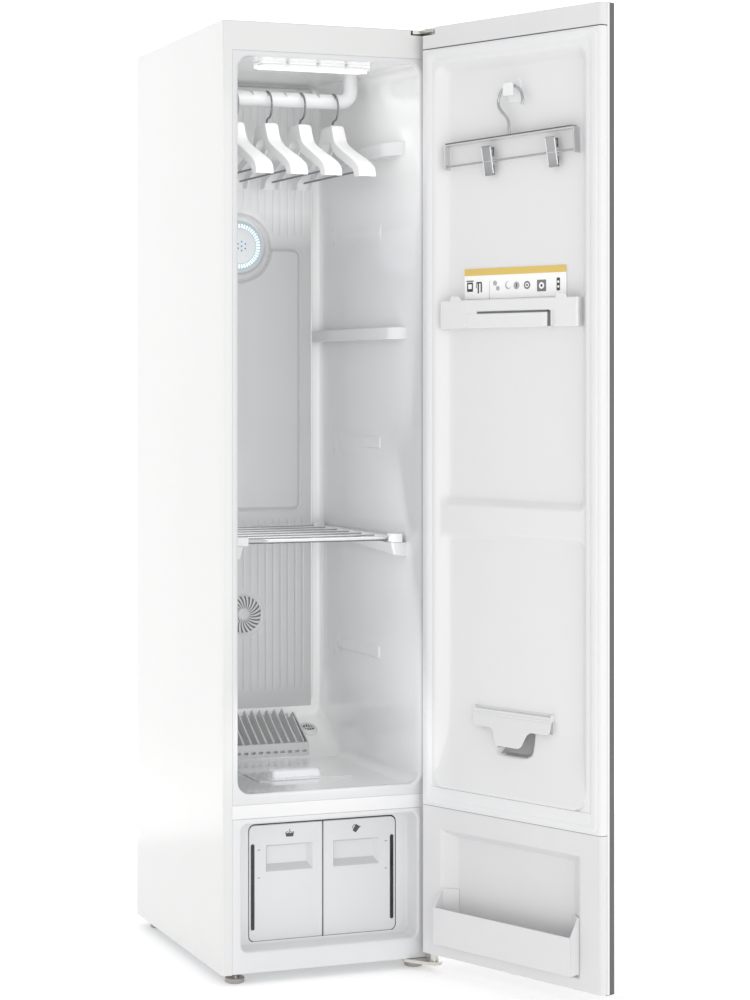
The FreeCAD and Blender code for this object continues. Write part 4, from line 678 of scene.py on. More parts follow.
def cover_xyz(x, z):
    edge = -sd_rrect(x, z, 0, 1119, 157.5, 667, 10)
    t = np.clip(1 - edge / 6.0, 0, 1)
    y = 494.2 + 1.6 * (1 - np.sqrt(np.clip(1 - t * t, 0, 1)))
    # the lower edge runs out into the wall
    low_t = np.clip((500 - z) / 48.0, 0, 1)
    y = np.maximum(y, 494.2 + 5.6 * sstep(low_t))
    # raised panel with a groove round it
    d1 = sd_rrect(x, z, 0, 1159, 129, 281, 16)
    pan = -4.2 * sstep((-d1 - 0.5) / 6.5) + 1.6 * np.exp(-((d1 - 0.6) / 1.5) ** 2) - 0.9 * np.exp(-((d1 - 4.2) / 1.6) ** 2)
    # round collar of the outlet, with its own groove
    rr = np.hypot(x - OX, z - OZ + 2.0)
    col = -3.4 * sstep((73.0 - rr) / 7.0) + 2.6 * np.exp(-((rr - 74.2) / 2.0) ** 2)
    w = sstep((rr - 72.5) / 2.5)
    y = y + col * (1 - w) + (col + pan) * w
    inner = np.hypot(x - OX, z - OZ)
    y = y - 1.3 * np.exp(-((inner - 62.0) / 1.4) ** 2)
    y = y + 3.4 * sstep((60.5 - inner) / 3.0)
    ribs = np.zeros_like(x)
    for i in range(-9, 10):
        ribs = np.maximum(ribs, np.exp(-((x - 17.0 * i) / 1.15) ** 2))
    top = sstep((z - 1466) / 6.0) * sstep((rr - 84) / 4.0) * sstep((1775 - z) / 8.0)
    gd = np.hypot(x, z - GZ)
    low = sstep((z - 486) / 8.0) * sstep((862 - z) / 8.0) * sstep((gd - 50) / 4.0)
    y = y + 1.5 * ribs * np.clip(top + low, 0, 1) * sstep((edge - 8) / 3.0)
    y = y - 0.9 * np.exp(-((gd - 45.5) / 1.8) ** 2)
    return x, y, z


rib_x = []
for i in range(-9, 10):
    rib_x += [17.0 * i + q for q in (-2.6, -1.5, -0.75, 0, 0.75, 1.5, 2.6)]
cx = lines(-157.5, 157.5, 3.0, extra=list(rib_x) + list(np.arange(-86, 66, 1.5)), near=[(-153, 4.4, 8), (153, 4.4, 8), (-128, 4, 9), (128, 4, 9)])
cz = lines(452, 1786, 9.0, near=[(470, 24, 14), (1782, 4, 6), (490, 8, 9), (862, 10, 9), (880, 8, 15), (1438, 5, 9), (1470, 10, 12)]) + []
cz = lines(452, 1786, 40.0, extra=list(cz) + list(np.arange(600, 712, 3.2)) + list(np.arange(1362, 1524, 1.6)))
make("duct_cover_ribbed", *sheet_grid(cx, cz, cover_xyz, flip=False), "duct", "cabinet", smooth=60, replaces=["rear_duct_cover"], slot="duct_grey")

# round air outlet: a shallow dish, a ring of light dashes and a ported disc
prof = [(60.5, 497.2), (58.5, 496.2), (56.5, 494.6), (53.5, 493.8), (50.5, 493.4), (48.8, 491.6), (48.2, 491.0), (37.8, 491.0), (37.2, 490.0), (35.5, 489.6), (20, 489.4), (12, 489.4), (0.4, 489.4)]
dish = make("outlet_dish", *revolve([(r, y) for r, y in prof], (OX, 0, OZ), "y", 96, caps=(False, True)), "outlet", "cabinet", smooth=50, replaces=["air_outlet"], slot="outlet_grey")
dish.data.materials.append(M["led_band"])
for p in dish.data.polygons:
    if max(p.vertices) < 96 * 9 and min(p.vertices) >= 96 * 2:
        p.material_index = 1
dv = []
for i in range(46):
    a0 = 2 * math.pi * (i + 0.27) / 46
    a1 = 2 * math.pi * (i + 0.73) / 46
    ring = []
    for r in (39.2, 47.6):
        for a in (a0, (a0 + a1) / 2, a1):
            ring.append((OX + r * math.cos(a), r * math.sin(a) + OZ))
    out = [ring[0], ring[1], ring[2], ring[5], ring[4], ring[3]]
    dv.append(prism(out, "xz", 490.2, 491.2))
make("outlet_light_dashes", *join(*dv), "led", "cabinet", smooth=None, slot="outlet_grey")
pv = []
for i in range(7):
    a = math.radians(60 * i + 30)
    q = 0.0 if i == 6 else 9.6
    pv.append(revolve([(2.1, 488.6), (1.7, 488.3), (0.2, 488.3)], (OX + 5.0 + q * math.cos(a), 0.9, OZ + q * math.sin(a)), "y", 16, caps=(False, True)))
make("outlet_ports", *join(*pv), "led_blue", "cabinet", smooth=40, slot="outlet_grey")
# a half-round bead on each side edge of the cover, in near-white: painted highlight
for s in (-1, 1):
    bead = [(s * 155.2, 500.2), (s * 155.3, 493.6), (s * 155.9, 492.4), (s * 157.2, 491.9), (s * 158.5, 492.4), (s * 159.3, 493.6), (s * 160.6, 500.2)]
    make("cover_bead_%s" % ("right" if s > 0 else "left"), *prism(bead, "xy", 470, 1783), "bead", "cabinet", smooth=60, slot="duct_grey")

# lower fan grille with swept vanes
# a dark disc behind the vanes: painted shade
make("grille_back", *revolve([(40.5, 495.4), (0.3, 495.4)], (0, -1.4, GZ), "y", 72, caps=(False, True)), "groove", "cabinet", smooth=None, slot="grille_grey")
rim = [(42.6, 495.8), (42.3, 492.6), (41.2, 491.6), (39.6, 491.8), (39.0, 493.2), (39.0, 495.0)]
hub = [(13.6, 494.6), (13.4, 492.0), (12.2, 491.0), (6.5, 490.6), (5.6, 491.4), (0.3, 491.4)]
gv = [revolve(rim, (0, 0, GZ), "y", 72), revolve(hub, (0, 0, GZ), "y", 48, caps=(False, True))]
for i in range(24):
    base = 2 * math.pi * i / 24
    a_side, b_side = [], []
    for t in np.linspace(0, 1, 7):
        r = 12.8 + (39.4 - 12.8) * t
        ang = base + 0.34 * t
        w = (1.0 + 1.75 * t)
        nx, nz = -math.sin(ang), math.cos(ang)
        a_side.append((r * math.cos(ang) + nx * w, r * math.sin(ang) + GZ + nz * w))
        b_side.append((r * math.cos(ang) - nx * w, r * math.sin(ang) + GZ - nz * w))
    gv.append(prism(a_side + b_side[::-1], "xz", 492.4, 494.6))
make("grille_vanes", *join(*gv), "duct", "cabinet", smooth=40, replaces=["fan_grille"], slot="grille_grey")

# ------------------------------------------------------------------ ceiling lamp
lens = outline([(-123, 103), (-108, 91.5), (108, 91.5), (123, 103), (108, 119), (-108, 119)], [5, 8, 8, 5, 14, 14], 5)
near_ = outline([(-121, 91), (-104, 61), (104, 61), (121, 91)], [2, 20, 20, 2], 5)
lamp_bar = make("lamp_lens_bar", *join(prism(lens, "xy", 1769.8, 1772.8), prism(near_, "xy", 1772.9, 1775.0)), "lamp", "cabinet", bevel=(0.9, 3, 40), replaces=["lamp_lens"], slot="lens_white")
# the plate beside the lens glows faintly: painted glow
lamp_bar.data.materials.append(M["nearplate"])
for p in lamp_bar.data.polygons:
    if p.index >= len(lens) + 2:
        p.material_index = 1
lb = []
for a, b in ((-118, -66), (-61, -2), (3, 58), (63, 112)):
    lb.append(prism(outline([(a, 64), (b, 64), (b, 118), (a, 118)], 5, 4), "xy", 1775.2, 1780.6))
    lb.append(prism(outline([(a + 1, 63.5), (b - 1, 63.5), (b + 2, 90), (a - 1, 90)], [5, 5, 2, 2], 4), "xy", 1771.4, 1773.0))
# the housing glows faintly: painted glow
make("lamp_vents", *join(*lb), "lampbox", "cabinet", bevel=(0.9, 3, 40), replaces=["lamp_housing"], slot="lamp_white")

# ------------------------------------------------------------------ steam tray on the ramp


def ramp_at(y):
    return F_Z + (y - R_Y) * (R_Z - F_Z) / (C_D - R_Y)


def oblong(cx_, cz_, w, h):
    return outline([(cx_ - w / 2, cz_ - h / 2), (cx_ + w / 2, cz_ - h / 2), (cx_ + w / 2, cz_ + h / 2), (cx_ - w / 2, cz_ + h / 2)], h * 0.42, 4)


front = outline([(-112, 364.6), (108, 364.6), (108, 392), (-112, 392)], [3, 3, 5, 5], 4)
holes = [oblong(97.5 - 16.4 * i, 374.2, 9.4, 5.2) for i in range(13)]
make("tray_fascia", *holed(front, holes, "xz", 385.2, 388.4), "tray", "cabinet", smooth=35, bevel=(0.5, 2, 50), replaces=["steam_tray"], slot="tray_grey")
make("tray_fascia_shadow", *prism([(-109, 368), (105, 368), (105, 381), (-109, 381)], "xz", 389.4, 390.4), "grille", "cabinet", smooth=None, slot="tray_grey")
side_prof = [(386, ramp_at(386) + 0.6), (489, ramp_at(489) + 0.6), (489, 436), (474, 444.5), (388, 393.5), (386, 391)]
make("tray_walls", *join(prism(side_prof, "yz", -112, -109.2), prism(side_prof, "yz", 105.2, 108),
                         rbox(-112, 100, 486.4, 489, 424, 439), prism([(-112, 396), (108, 396), (108, 388.4), (-112, 388.4)], "xy", 389.6, 391.8),
                         prism([(-114, 381.5), (110, 381.5), (110, 386), (-114, 386)], "xy", 363.4, 366.4)), "tray", "cabinet", bevel=(0.7, 2, 40), slot="tray_grey")
sv, ev = [], []
for i in range(13):
    x = 99.0 - 17.0 * i
    ya = 452.0 if i == 0 else 472.0
    za = 437.5 if i == 0 else 451.0
    prof = [(389.5, ramp_at(389.5) + 0.8), (484, ramp_at(484) + 0.8), (487.0, min(za - 8.0, 441.0)), (ya, za), (392, 394)]
    pv_, pf_ = prism(prof, "yz", -0.8, 0.8)
    sv.append(([(x + q[0] - 0.045 * max(0.0, q[2] - ramp_at(q[1])), q[1], q[2]) for q in pv_], pf_))
    k = (za - 394.0) / (ya - 392.0)
    rim_ = [(488.6, min(za - 8.0, 441.0) + 0.4), (ya + 0.6, za + 1.7), (390.8, 395.2), (391.6, 392.6), (ya - 0.6, za - 1.2), (486.2, min(za - 8.0, 441.0) - 1.6)]
    pv_, pf_ = prism(rim_, "yz", -1.05, 1.05)
    ev.append(([(x + q[0] - 0.045 * max(0.0, q[2] - ramp_at(q[1])), q[1], q[2]) for q in pv_], pf_))
make("slat_plates", *join(*sv), "slat", "cabinet", smooth=None, replaces=["steam_slats"], slot="slat_grey")
make("slat_rims", *join(*ev), "slat_edge", "cabinet", bevel=(0.4, 2, 40), slot="slat_grey")

# nozzle: a round collar with a cap and spoked opening
ANG = math.atan2(R_Z - F_Z, C_D - R_Y)


def on_ramp(cx_, cy_):
    c, s = math.cos(ANG), math.sin(ANG)
    cz_ = ramp_at(cy_)

    def sp(v):
        v = np.asarray(v, float).reshape(-1, 3)
        y, z = v[:, 1], v[:, 2]
        return cab(np.stack([v[:, 0] + cx_, cy_ + y * c - z * s, cz_ + y * s + z * c], 1))
    return sp


sp = on_ramp(134, 457)
make("nozzle_collar", *revolve([(20.4, 0.2), (20.4, 3.2), (19.4, 4.6), (16.4, 5.4), (15.6, 7.2), (14.6, 8.6), (13.4, 9.0), (12.6, 8.2), (12.2, 4.0), (0.3, 3.8)], (0, 0, 0), "z", 48, caps=(False, True)),
     "nozzle", "cabinet", space=sp, smooth=45, replaces=["steam_nozzle"], slot="nozzle_white")
blades = [prism(outline([(q - 0.8, -h_), (q + 0.8, -h_), (q + 0.8, h_), (q - 0.8, h_)], 0.7, 2), "xy", 4.2, 7.4) for q, h_ in ((-5.4, 10.6), (0.0, 12.0), (5.4, 10.6))]
blades.append(prism(outline([(-12.0, -0.8), (12.0, -0.8), (12.0, 0.8), (-12.0, 0.8)], 0.7, 2), "xy", 4.2, 7.0))
make("nozzle_spokes", *join(*blades), "nozzle", "cabinet", space=sp, bevel=(0.3, 2, 50), slot="nozzle_white")
# a near-black disc in the opening: painted shade
make("nozzle_throat", *revolve([(12.1, 4.3), (0.3, 4.3)], (0, 0, 0), "z", 36, caps=(False, True)), "dark", "cabinet", space=sp, smooth=None, slot="nozzle_white")

# ------------------------------------------------------------------ lint filter and its grip
cover = outline([(-100, 131), (106, 131), (106, 226), (-100, 226)], 6, 5)
cover2 = outline([(-99, 226.6), (105, 226.6), (105, 289), (-99, 289)], 6, 5)
grip_rings = []
for z, d in ((362.0, -1.2), (363.6, 0.0), (371.0, 1.6), (374.2, 3.4), (375.8, 6.2)):
    o = outline([(-61 + d, 157 + d), (44 - d, 157 + d), (44 - d, 198 - d), (-61 + d, 198 - d)], 7.0 - d * 0.4, 5)
    grip_rings.append([(p[0], p[1], z) for p in o])
make("filter_grip", *loft(grip_rings, caps=(True, True)), "handle", "filter", smooth=38, bevel=(0.6, 2, 50), slot="filter_white")
make("filter_cover", *join(prism(cover, "xy", 361.2, 362.9), prism(cover2, "xy", 361.2, 361.8)), "liner", "filter", smooth=38, bevel=(0.5, 2, 50), slot="filter_white")
make("filter_cassette", *rbox(-90, 96, 138, 280, 312, 361.2), "handle", "filter", bevel=(2.0, 3), replaces=["lint_filter"], slot="filter_white")

# ------------------------------------------------------------------ garment hangers
HX = [72.5 * k - 1.0 for k in (-1.5, -0.5, 0.5, 1.5)]


def smooth_line(pts, n=60, rounds=3):
    # points along a polyline with its corners softened by repeated corner cutting
    p = np.array(pts, float)
    for _ in range(rounds):
        q = [p[0]]
        for a, b in zip(p[:-1], p[1:]):
            q += [a * 0.75 + b * 0.25, a * 0.25 + b * 0.75]
        q.append(p[-1])
        p = np.array(q)
    return p


TOPLINE = smooth_line([(70, 1562.4), (70.2, 1566), (71.0, 1574), (77, 1584), (90, 1592.5), (112, 1602.5), (163, 1622), (203, 1639), (214, 1652), (224.5, 1674), (227.5, 1678.6), (233, 1679.0), (240, 1679.0), (247, 1679.0), (254, 1679.0)], rounds=2)
UNDERLINE = smooth_line([(70, 1561.8), (98, 1561.8), (102, 1578), (124, 1584.5), (168, 1602.0), (214, 1619), (232, 1642), (243, 1646), (254, 1646)], rounds=2)


def hanger_shape(x):
    # a moulded shell, open underneath
    ys = sorted(set([70, 70.3, 70.7, 71.3, 72.2, 73.6, 75.5, 78, 81, 85, 90, 94, 96.5, 98, 99.4, 101, 103] + list(np.arange(108, 200, 7.0)) + list(np.arange(200, 240, 2.2)) + [241, 245, 250, 254]))
    rings = []
    for y in ys:
        top = float(np.interp(y, TOPLINE[:, 0], TOPLINE[:, 1]))
        low = float(np.interp(y, UNDERLINE[:, 0], UNDERLINE[:, 1]))
        low = min(low, top - 0.6)
        w = float(np.interp(y, [70, 74, 100, 140, 200, 216, 240, 254], [17.6, 18.0, 17.4, 15.6, 14.2, 13.8, 13.4, 13.4]))
        h = top - low
        crown = min(2.6, h * 0.4)
        t = 2.3
        ceil_ = max(low + 0.15, top - 2.6 - 0.0 * y)
        us = np.linspace(-1, 1, 13)
        ring = [(x - w, y, low)]
        ring += [(x + w * u, y, top - crown * abs(u) ** 4.5) for u in us]
        ring.append((x + w, y, low))
        wi = w - t
        ring.append((x + wi, y, low))
        ring += [(x + wi * u, y, max(low + 0.1, ceil_ - min(1.6, h * 0.2) * abs(u) ** 5)) for u in us[::-1]]
        ring.append((x - wi, y, low))
        rings.append(ring)
    rings += [[(p[0], 508.0 - p[1], p[2]) for p in r] for r in rings[-2::-1]]
    return loft(rings, caps=(True, True), flip=True)


HOOK_R = 28.2
HOOK_Z0 = 1730.0 + 15.5 - 3 + 0.35 - HOOK_R


def bezier(p0, p1, p2, p3, n):
    out = []
    for t in np.linspace(0, 1, n):
        out.append(tuple(np.array(p0) * (1 - t) ** 3 + 3 * np.array(p1) * t * (1 - t) ** 2 + 3 * np.array(p2) * t * t * (1 - t) + np.array(p3) * t ** 3))
    return out


for k, x in enumerate(HX, start=1):
    body = "hanger_%d" % k
    make("hanger_%d_arms" % k, *hanger_shape(x), "hanger", body, smooth=48, replaces=["hanger_%d_body" % k], slot="hanger_white")
    make("hanger_%d_bar" % k, *tube([(x, 96 + 316 * t, 1575.5) for t in (0, 0.25, 0.5, 0.75, 1)], 2.0, 14), "rod_dark", body, smooth=50, slot="wire_chrome")
    r = HOOK_R + 2.1
    pts = arc((254, HOOK_Z0), r, 20, 212, 44, "yz", x)
    a_in = pts[-1]
    tg = (0, -math.sin(math.radians(212)), math.cos(math.radians(212)))
    pts += bezier(a_in, tuple(np.array(a_in) + np.array(tg) * 16), (x, 249.5, 1694.5), (x, 253.6, 1683.5), 16)[1:] + [(x, 254, 1680), (x, 254, 1675)]
    tip = [(pts[0][0], pts[0][1], pts[0][2])]
    make("hanger_%d_wire" % k, *tube(pts, 2.1, 14), "hookwire", body, smooth=50, replaces=["hanger_%d_hook" % k], slot="wire_chrome")
    make("hanger_%d_ferrule" % k, *revolve([(0.4, 1682.0), (3.2, 1681.8), (3.9, 1681.0), (4.2, 1678.4)], (x, 254, 0), "z", 24, caps=(False, False)), "hanger", body, smooth=50, slot="hanger_white")

# ------------------------------------------------------------------ pull-out rack
rv = []
for s in (-1, 1):
    x0, x1 = sorted((s * 152.6, s * 177.0))
    rv.append(rbox(x0, x1, 66, 481, 836.4, 845.6))
    rv.append(rbox(x0, x1, 466, 481, 836.4, 851.0))
make("rack_rails", *join(*rv), "rack", "rack", bevel=(1.6, 3), replaces=["rack_sides"], slot="rack_white")
rv = []
for x0, x1 in ((-178.0, -147.0), (155.8, 179.6)):
    rv.append(prism(outline([(x0, 834.1), (x1, 834.1), (x1, 851.2), (x0, 851.2)], 2.2, 4), "xz", 61.6, 84))
make("rack_blocks", *join(*rv), "rack", "rack", bevel=(1.0, 3, 40), slot="rack_white")
rd = [tube([(-159, 74, 842), (0, 74, 842), (159, 74, 842)], 4.7, 24)]
for y in (142, 208, 274, 340, 406, 472):
    rd.append(tube([(-154, y, 844.4), (0, y, 844.4), (154, y, 844.4)], 2.2, 18))
make("rack_bars", *join(*rd), "rack_rod", "rack", smooth=50, replaces=["rack_rods"], slot="rod_white")

# ------------------------------------------------------------------ tank bay front
bz = []
bs = (20, 14, 20, 14)


def bring(hw, z0, z1, r, y):
    bz.append(rrect(-hw, hw, z0, z1, r, seg=8, sides=bs, y=y))


bring(203.3, 20.6, 316.6, 0.8, 6.0)
bring(203.3, 20.6, 316.6, 0.8, 1.2)
bring(202.6, 21.3, 315.9, 0.8, 0.3)
bring(201.6, 22.3, 314.9, 0.9, 0.0)
for k in range(7):
    a = math.radians(90 * k / 6)
    g = 5.0 * (1 - math.sin(a))
    bring(184.2 + g, 61.8 - g, 306.2 + g, 14 + g, 5.0 * (1 - math.cos(a)))
bring(182.6, 63.4, 304.6, 13, 22.0)
bring(180.8, 65.2, 302.8, 12.5, 35.0)
for k in range(1, 6):
    a = math.radians(90 * k / 5)
    g = 4.5 * (1 - math.cos(a))
    bring(180.4 - g, 65.6 + g, 302.4 - g, 12.4 - g * 0.4, 35.6 + 4.5 * math.sin(a))
bring(170.0, 67.2, 300.0, 11.8, 40.2)
bring(156.6, 68.0, 298.2, 12.9, 40.2)
for k in range(1, 5):
    a = math.radians(90 * k / 4)
    g = 0.9 * math.sin(a)
    bring(156.6 - g, 68.0 + g, 298.2 - g, 12.8, 40.2 + 0.9 * (1 - math.cos(a)))
bring(155.6, 69.0, 297.2, 12.6, 41.6)
bring(155.6, 69.0, 297.2, 12.6, 80.0)
bring(155.5, 69.0, 297.2, 12.6, 239.4)
bay = make("bay_surround", *loft(bz, caps=(False, True)), "bezel", "cabinet", smooth=40, replaces=["tank_bay_bezel"], slot="bezel_grey")
# the walls far behind the tank fronts are near-black: painted shade in the gaps
bay.data.materials.append(M["dark"])
for p in bay.data.polygons:
    if min(p.vertices) >= len(bz[0]) * (len(bz) - 3):
        p.material_index = 1


def tank_front(sgn):
    x0, x1 = (1.35, 154.2) if sgn > 0 else (-154.2, -1.35)
    z0, z1 = 70.3, 294.8
    gx0, gx1 = (22, 119) if sgn > 0 else (-119, -22)
    wx = 146.6 * sgn

    def clamp(x, z):
        # outer corners are round
        r = 11.6
        ox = x1 - r if sgn > 0 else x0 + r
        for oz, up in ((z0 + r, -1), (z1 - r, 1)):
            dx, dz = (x - ox) * sgn, (z - oz) * up
            inside = (dx > 0) & (dz > 0)
            d = np.hypot(dx, dz)
            k = np.where(inside & (d > r), r / np.maximum(d, 1e-6), 1.0)
            x = np.where(inside, ox + (x - ox) * k, x)
            z = np.where(inside, oz + (z - oz) * k, z)
        return x, z

    def fn(x, z):
        x, z = clamp(x, z)
        cx_, cz_ = (x0 + x1) / 2, (z0 + z1) / 2
        e = -sd_rrect(x, z, cx_ + (-6 * sgn), cz_, (x1 - x0) / 2 + 6, (z1 - z0) / 2, 11.6)
        e = np.minimum(e, np.abs(x - (x0 if sgn > 0 else x1)))
        t = np.clip(1 - e / 1.4, 0, 1)
        y = 40.0 + 1.4 * (1 - np.sqrt(np.clip(1 - t * t, 0, 1)))
        # hand recess: steep top and sides, a long slope up from its floor
        rx = np.minimum((x - gx0) / 5.0, (gx1 - x) / 9.0)
        rt = (255.0 - z) / 4.0
        rb = (z - 204.0) / 13.0
        s1 = np.minimum(np.minimum(rx, rt), rb)
        y = y + 10.5 * np.clip(s1, 0, 1) * (s1 > 0)
        lip = sd_rrect(x, z, (gx0 + gx1) / 2, 229.5, 48.5, 25.5, 2.5)
        y = y - 0.35 * np.exp(-((lip - 1.4) / 1.1) ** 2)
        # slot for the level window
        w = sd_rrect(x, z, wx, 175.5, 3.6, 83.4, 3.4)
        y = y + 1.7 * sstep((0.5 - w) / 0.9)
        return x, y, z
    xs = lines(x0, x1, 9, near=[(gx0 + 3.2, 4.2, 11), (gx1 - 4.2, 5.2, 11), (wx, 5.2, 14), (x0 + 6, 6, 12), (x1 - 6, 6, 12), (gx0 - 1.5, 2.4, 5), (gx1 + 1.5, 2.4, 5)])
    zs = lines(z0, z1, 9, near=[(205 + 7, 11, 16), (253.0, 3.8, 11), (z0 + 6, 6, 12), (z1 - 6, 6, 12), (92.4, 3.2, 8), (258.6, 3.2, 8)])
    fv, ff = sheet_grid(xs, zs, fn)
    # box behind the front
    o = outline([(x0, z0), (x1, z0), (x1, z1), (x0, z1)], [0.8, 11.6, 11.6, 0.8] if sgn > 0 else [11.6, 0.8, 0.8, 11.6], 6)
    rings = [[(p[0], y, p[1]) for p in o] for y in (41.3, 60, 120, 232.6)]
    rings.append([(p[0] * 0.998 + (x0 + x1) / 2 * 0.002, 234.0, p[1] * 0.998 + 0.002 * 182) for p in o])
    # faces on the recess's left, top and bottom slopes, later given a darker grey: painted shade
    soft = []
    for q in ff:
        qx, qz = sum(fv[i][0] for i in q) / 4, sum(fv[i][2] for i in q) / 4
        s_ = [(qx - gx0) / 5.0, (gx1 - qx) / 9.0, (255.0 - qz) / 4.0, (qz - 204.0) / 13.0]
        m_ = min(s_)
        soft.append(0 < m_ < 1 and s_.index(m_) in ((0, 2, 3)))
    return join((fv, ff), loft(rings, caps=(False, True))), soft


for sgn, tag in ((-1, "supply"), (1, "drain")):
    shell, soft = tank_front(sgn)
    ob = make("%s_tank_shell" % tag, *shell, "tank", tag, smooth=26, replaces=["%s_tank" % tag], slot="tank_grey")
    # the recess slopes get a darker grey: painted shade
    ob.data.materials.append(M["pocket"])
    for p in ob.data.polygons:
        if p.index < len(soft) and soft[p.index]:
            p.material_index = 1
    cxp = 78.0 * sgn
    make("%s_tank_cap" % tag, *revolve([(19.6, 291.2), (19.6, 294.9), (18.6, 296.0), (15.0, 296.2), (0.3, 296.2)], (cxp, 130, 0), "z", 40, caps=(False, True)), "handle", tag, smooth=40, slot="tank_grey")
    x0, x1 = sorted((143.4 * sgn, 149.8 * sgn))
    strip = outline([(x0, 92.4), (x1, 92.4), (x1, 258.6), (x0, 258.6)], 3.15, 6)
    make("%s_level_window" % tag, *prism(strip, "xz", 39.95, 41.6), "window", tag, bevel=(0.4, 2, 50), replaces=["%s_window" % tag], slot="window_black")
    for zt in (247.0, 193.0):
        tx = 134.0 * sgn
        make("%s_level_mark_%d" % (tag, int(zt)), *prism(outline([(tx - 3, zt - 0.5), (tx + 3, zt - 0.5), (tx + 3, zt + 0.5), (tx - 3, zt + 0.5)], 0.45, 2), "xz", 39.86, 40.02), "icon", tag, smooth=None, slot="window_black")

# generic pictures over the grips: a basin of water, and a jug being poured
ix, iz = -70.0, 275.0
basin = outline([(ix - 9, iz + 3.5), (ix - 7.4, iz - 6), (ix + 7.4, iz - 6), (ix + 9, iz + 3.5), (ix + 7.2, iz + 3.5), (ix + 6.8, iz + 1.2), (ix - 6.8, iz + 1.2), (ix - 7.2, iz + 3.5)], [0.5, 1.6, 1.6, 0.5, 0.4, 0.4, 0.4, 0.4], 3)
wavy = []
for t in np.linspace(0, 1, 15):
    wavy.append((ix - 6.0 + 12.0 * t, iz + 2.6 + 0.9 * math.sin(t * 4 * math.pi)))
wavy += [(p[0], p[1] + 1.0) for p in wavy[::-1]]
tall = outline([(ix - 0.7, iz + 4), (ix + 0.7, iz + 4), (ix + 0.7, iz + 8.6), (ix - 0.7, iz + 8.6)], 0.4, 2)
make("icon_basin", *join(prism(basin, "xz", 39.84, 40.02), prism(wavy, "xz", 39.84, 40.02), prism(tall, "xz", 39.84, 40.02)), "icon", "supply", smooth=None, slot="window_black")


def tilted(pts, cx_, cz_, a):
    c, s_ = math.cos(math.radians(a)), math.sin(math.radians(a))
    return [(cx_ + p[0] * c - p[1] * s_, cz_ + p[0] * s_ + p[1] * c) for p in pts]


jx, jz = 70.0, 276.0
jug = tilted(outline([(-5.2, 6.5), (-4.0, -7.5), (4.6, -7.5), (5.4, 6.5), (7.4, 9.0), (3.0, 7.4)], [0.5, 1.4, 1.4, 0.6, 0.4, 0.4], 3), jx, jz, -36)
grip_j = [(-5.0 - 3.6 * math.sin(math.radians(a)), 0.5 + 4.6 * math.cos(math.radians(a))) for a in np.linspace(5, 175, 12)]
grip_j += [(-5.0 - 2.3 * math.sin(math.radians(a)), 0.5 + 3.3 * math.cos(math.radians(a))) for a in np.linspace(175, 5, 12)]
make("icon_jug", *join(prism(jug, "xz", 39.84, 40.02), prism(tilted(grip_j, jx, jz, -36), "xz", 39.84, 40.02)), "icon", "drain", smooth=None, slot="window_black")

# ------------------------------------------------------------------ door liner


def ramp(u, w, r):
    # 0 to 1 over w with soft ends
    u = np.asarray(u, float)

    def sp(v):
        return r * np.logaddexp(0.0, v / r)
    return (sp(u) - sp(u - w)) / w


def edge_drop(x, half=222.0, r=8.0):
    t = np.clip((np.abs(x) - (half - r)) / r, 0, 1)
    return r * (1 - np.sqrt(np.clip(1 - t * t, 0, 1)))


def door_y(x, z):
    d1 = -sd_rrect(x, z, 0, 1076.0, 187, 697.0, 27)
    y = -5.0 - 6.5 * ramp(d1 - 1.5, 8.0, 0.9)
    up = -sd_rrect(x, z, 0, (915.5 + 1765) / 2, 179, (1765 - 915.5) / 2, 21)
    lo = -sd_rrect(x, z, 0, (364 + 863.5) / 2, 179, (863.5 - 364) / 2, 21)
    u = np.maximum(up, lo)
    w = 9.0 + 6.0 * sstep((np.minimum(np.abs(z - 889.5), 120) - 40) / 60)
    y = y - 13.5 * ramp(u - 1.0, 13.5, 1.1) * (u > -8)
    # the floor sweeps forward to a skirt with a drip edge
    t = np.clip((548.0 - z) / (548.0 - 369.0), 0, 1)
    yf = -25.4 + 29.6 * (0.55 * t ** 2.1 + 0.45 * sstep(t) * t)
    half = 160.0 + 31.5 * sstep(t * 1.12)
    side = np.maximum(0, np.abs(x) - (half - 7 * t))
    corner = 26.0
    ys = yf - 1.55 * ramp(side, 60, 1.6) * 60 * 0.62
    inside = (z >= 367.6)
    lipr = np.clip((z - 367.6) / 3.2, 0, 1)
    ys = ys - 3.2 * (1 - np.sqrt(np.clip(1 - (1 - lipr) ** 2, 0, 1)))
    cx_ = np.clip((np.abs(x) - (half - corner - 7 * t)) / corner, 0, 1)
    zc = 367.6 + corner * (1 - np.sqrt(np.clip(1 - cx_ ** 2, 0, 1)))
    ys = np.where(inside & (z >= zc - 0.01), ys, -99)
    k = 1.6
    y = np.maximum(y, ys) + k * np.exp(-np.abs(y - ys) / k) * 0.22 * (ys > -60) * (t > 0.02) * (1 - t)
    # finger hollow behind the clamp's tab
    fd = sd_rrect(x, z, -5, 479, 44, 34, 20)
    y = y - 13.0 * ramp(-fd, 4.0, 0.7)
    return y - edge_drop(x)


dx = lines(-222, 222, 9, near=[(s * c, w, n) for s in (-1, 1) for c, w, n in ((183, 6, 11), (171, 8, 12), (218, 4, 9), (47, 8, 9))])
dz = lines(328.1, 1801.6, 13, near=[(367.8, 1.6, 8), (376, 8, 11), (384, 6, 8), (442, 8, 9), (516, 8, 9), (858, 9, 13), (920, 9, 13), (1762, 14, 20), (390, 16, 12), (846, 8, 5), (934, 8, 5)])
dv, df = sheet_grid(dx, dz, lambda x, z: (x, door_y(x, z), z), flip=True)
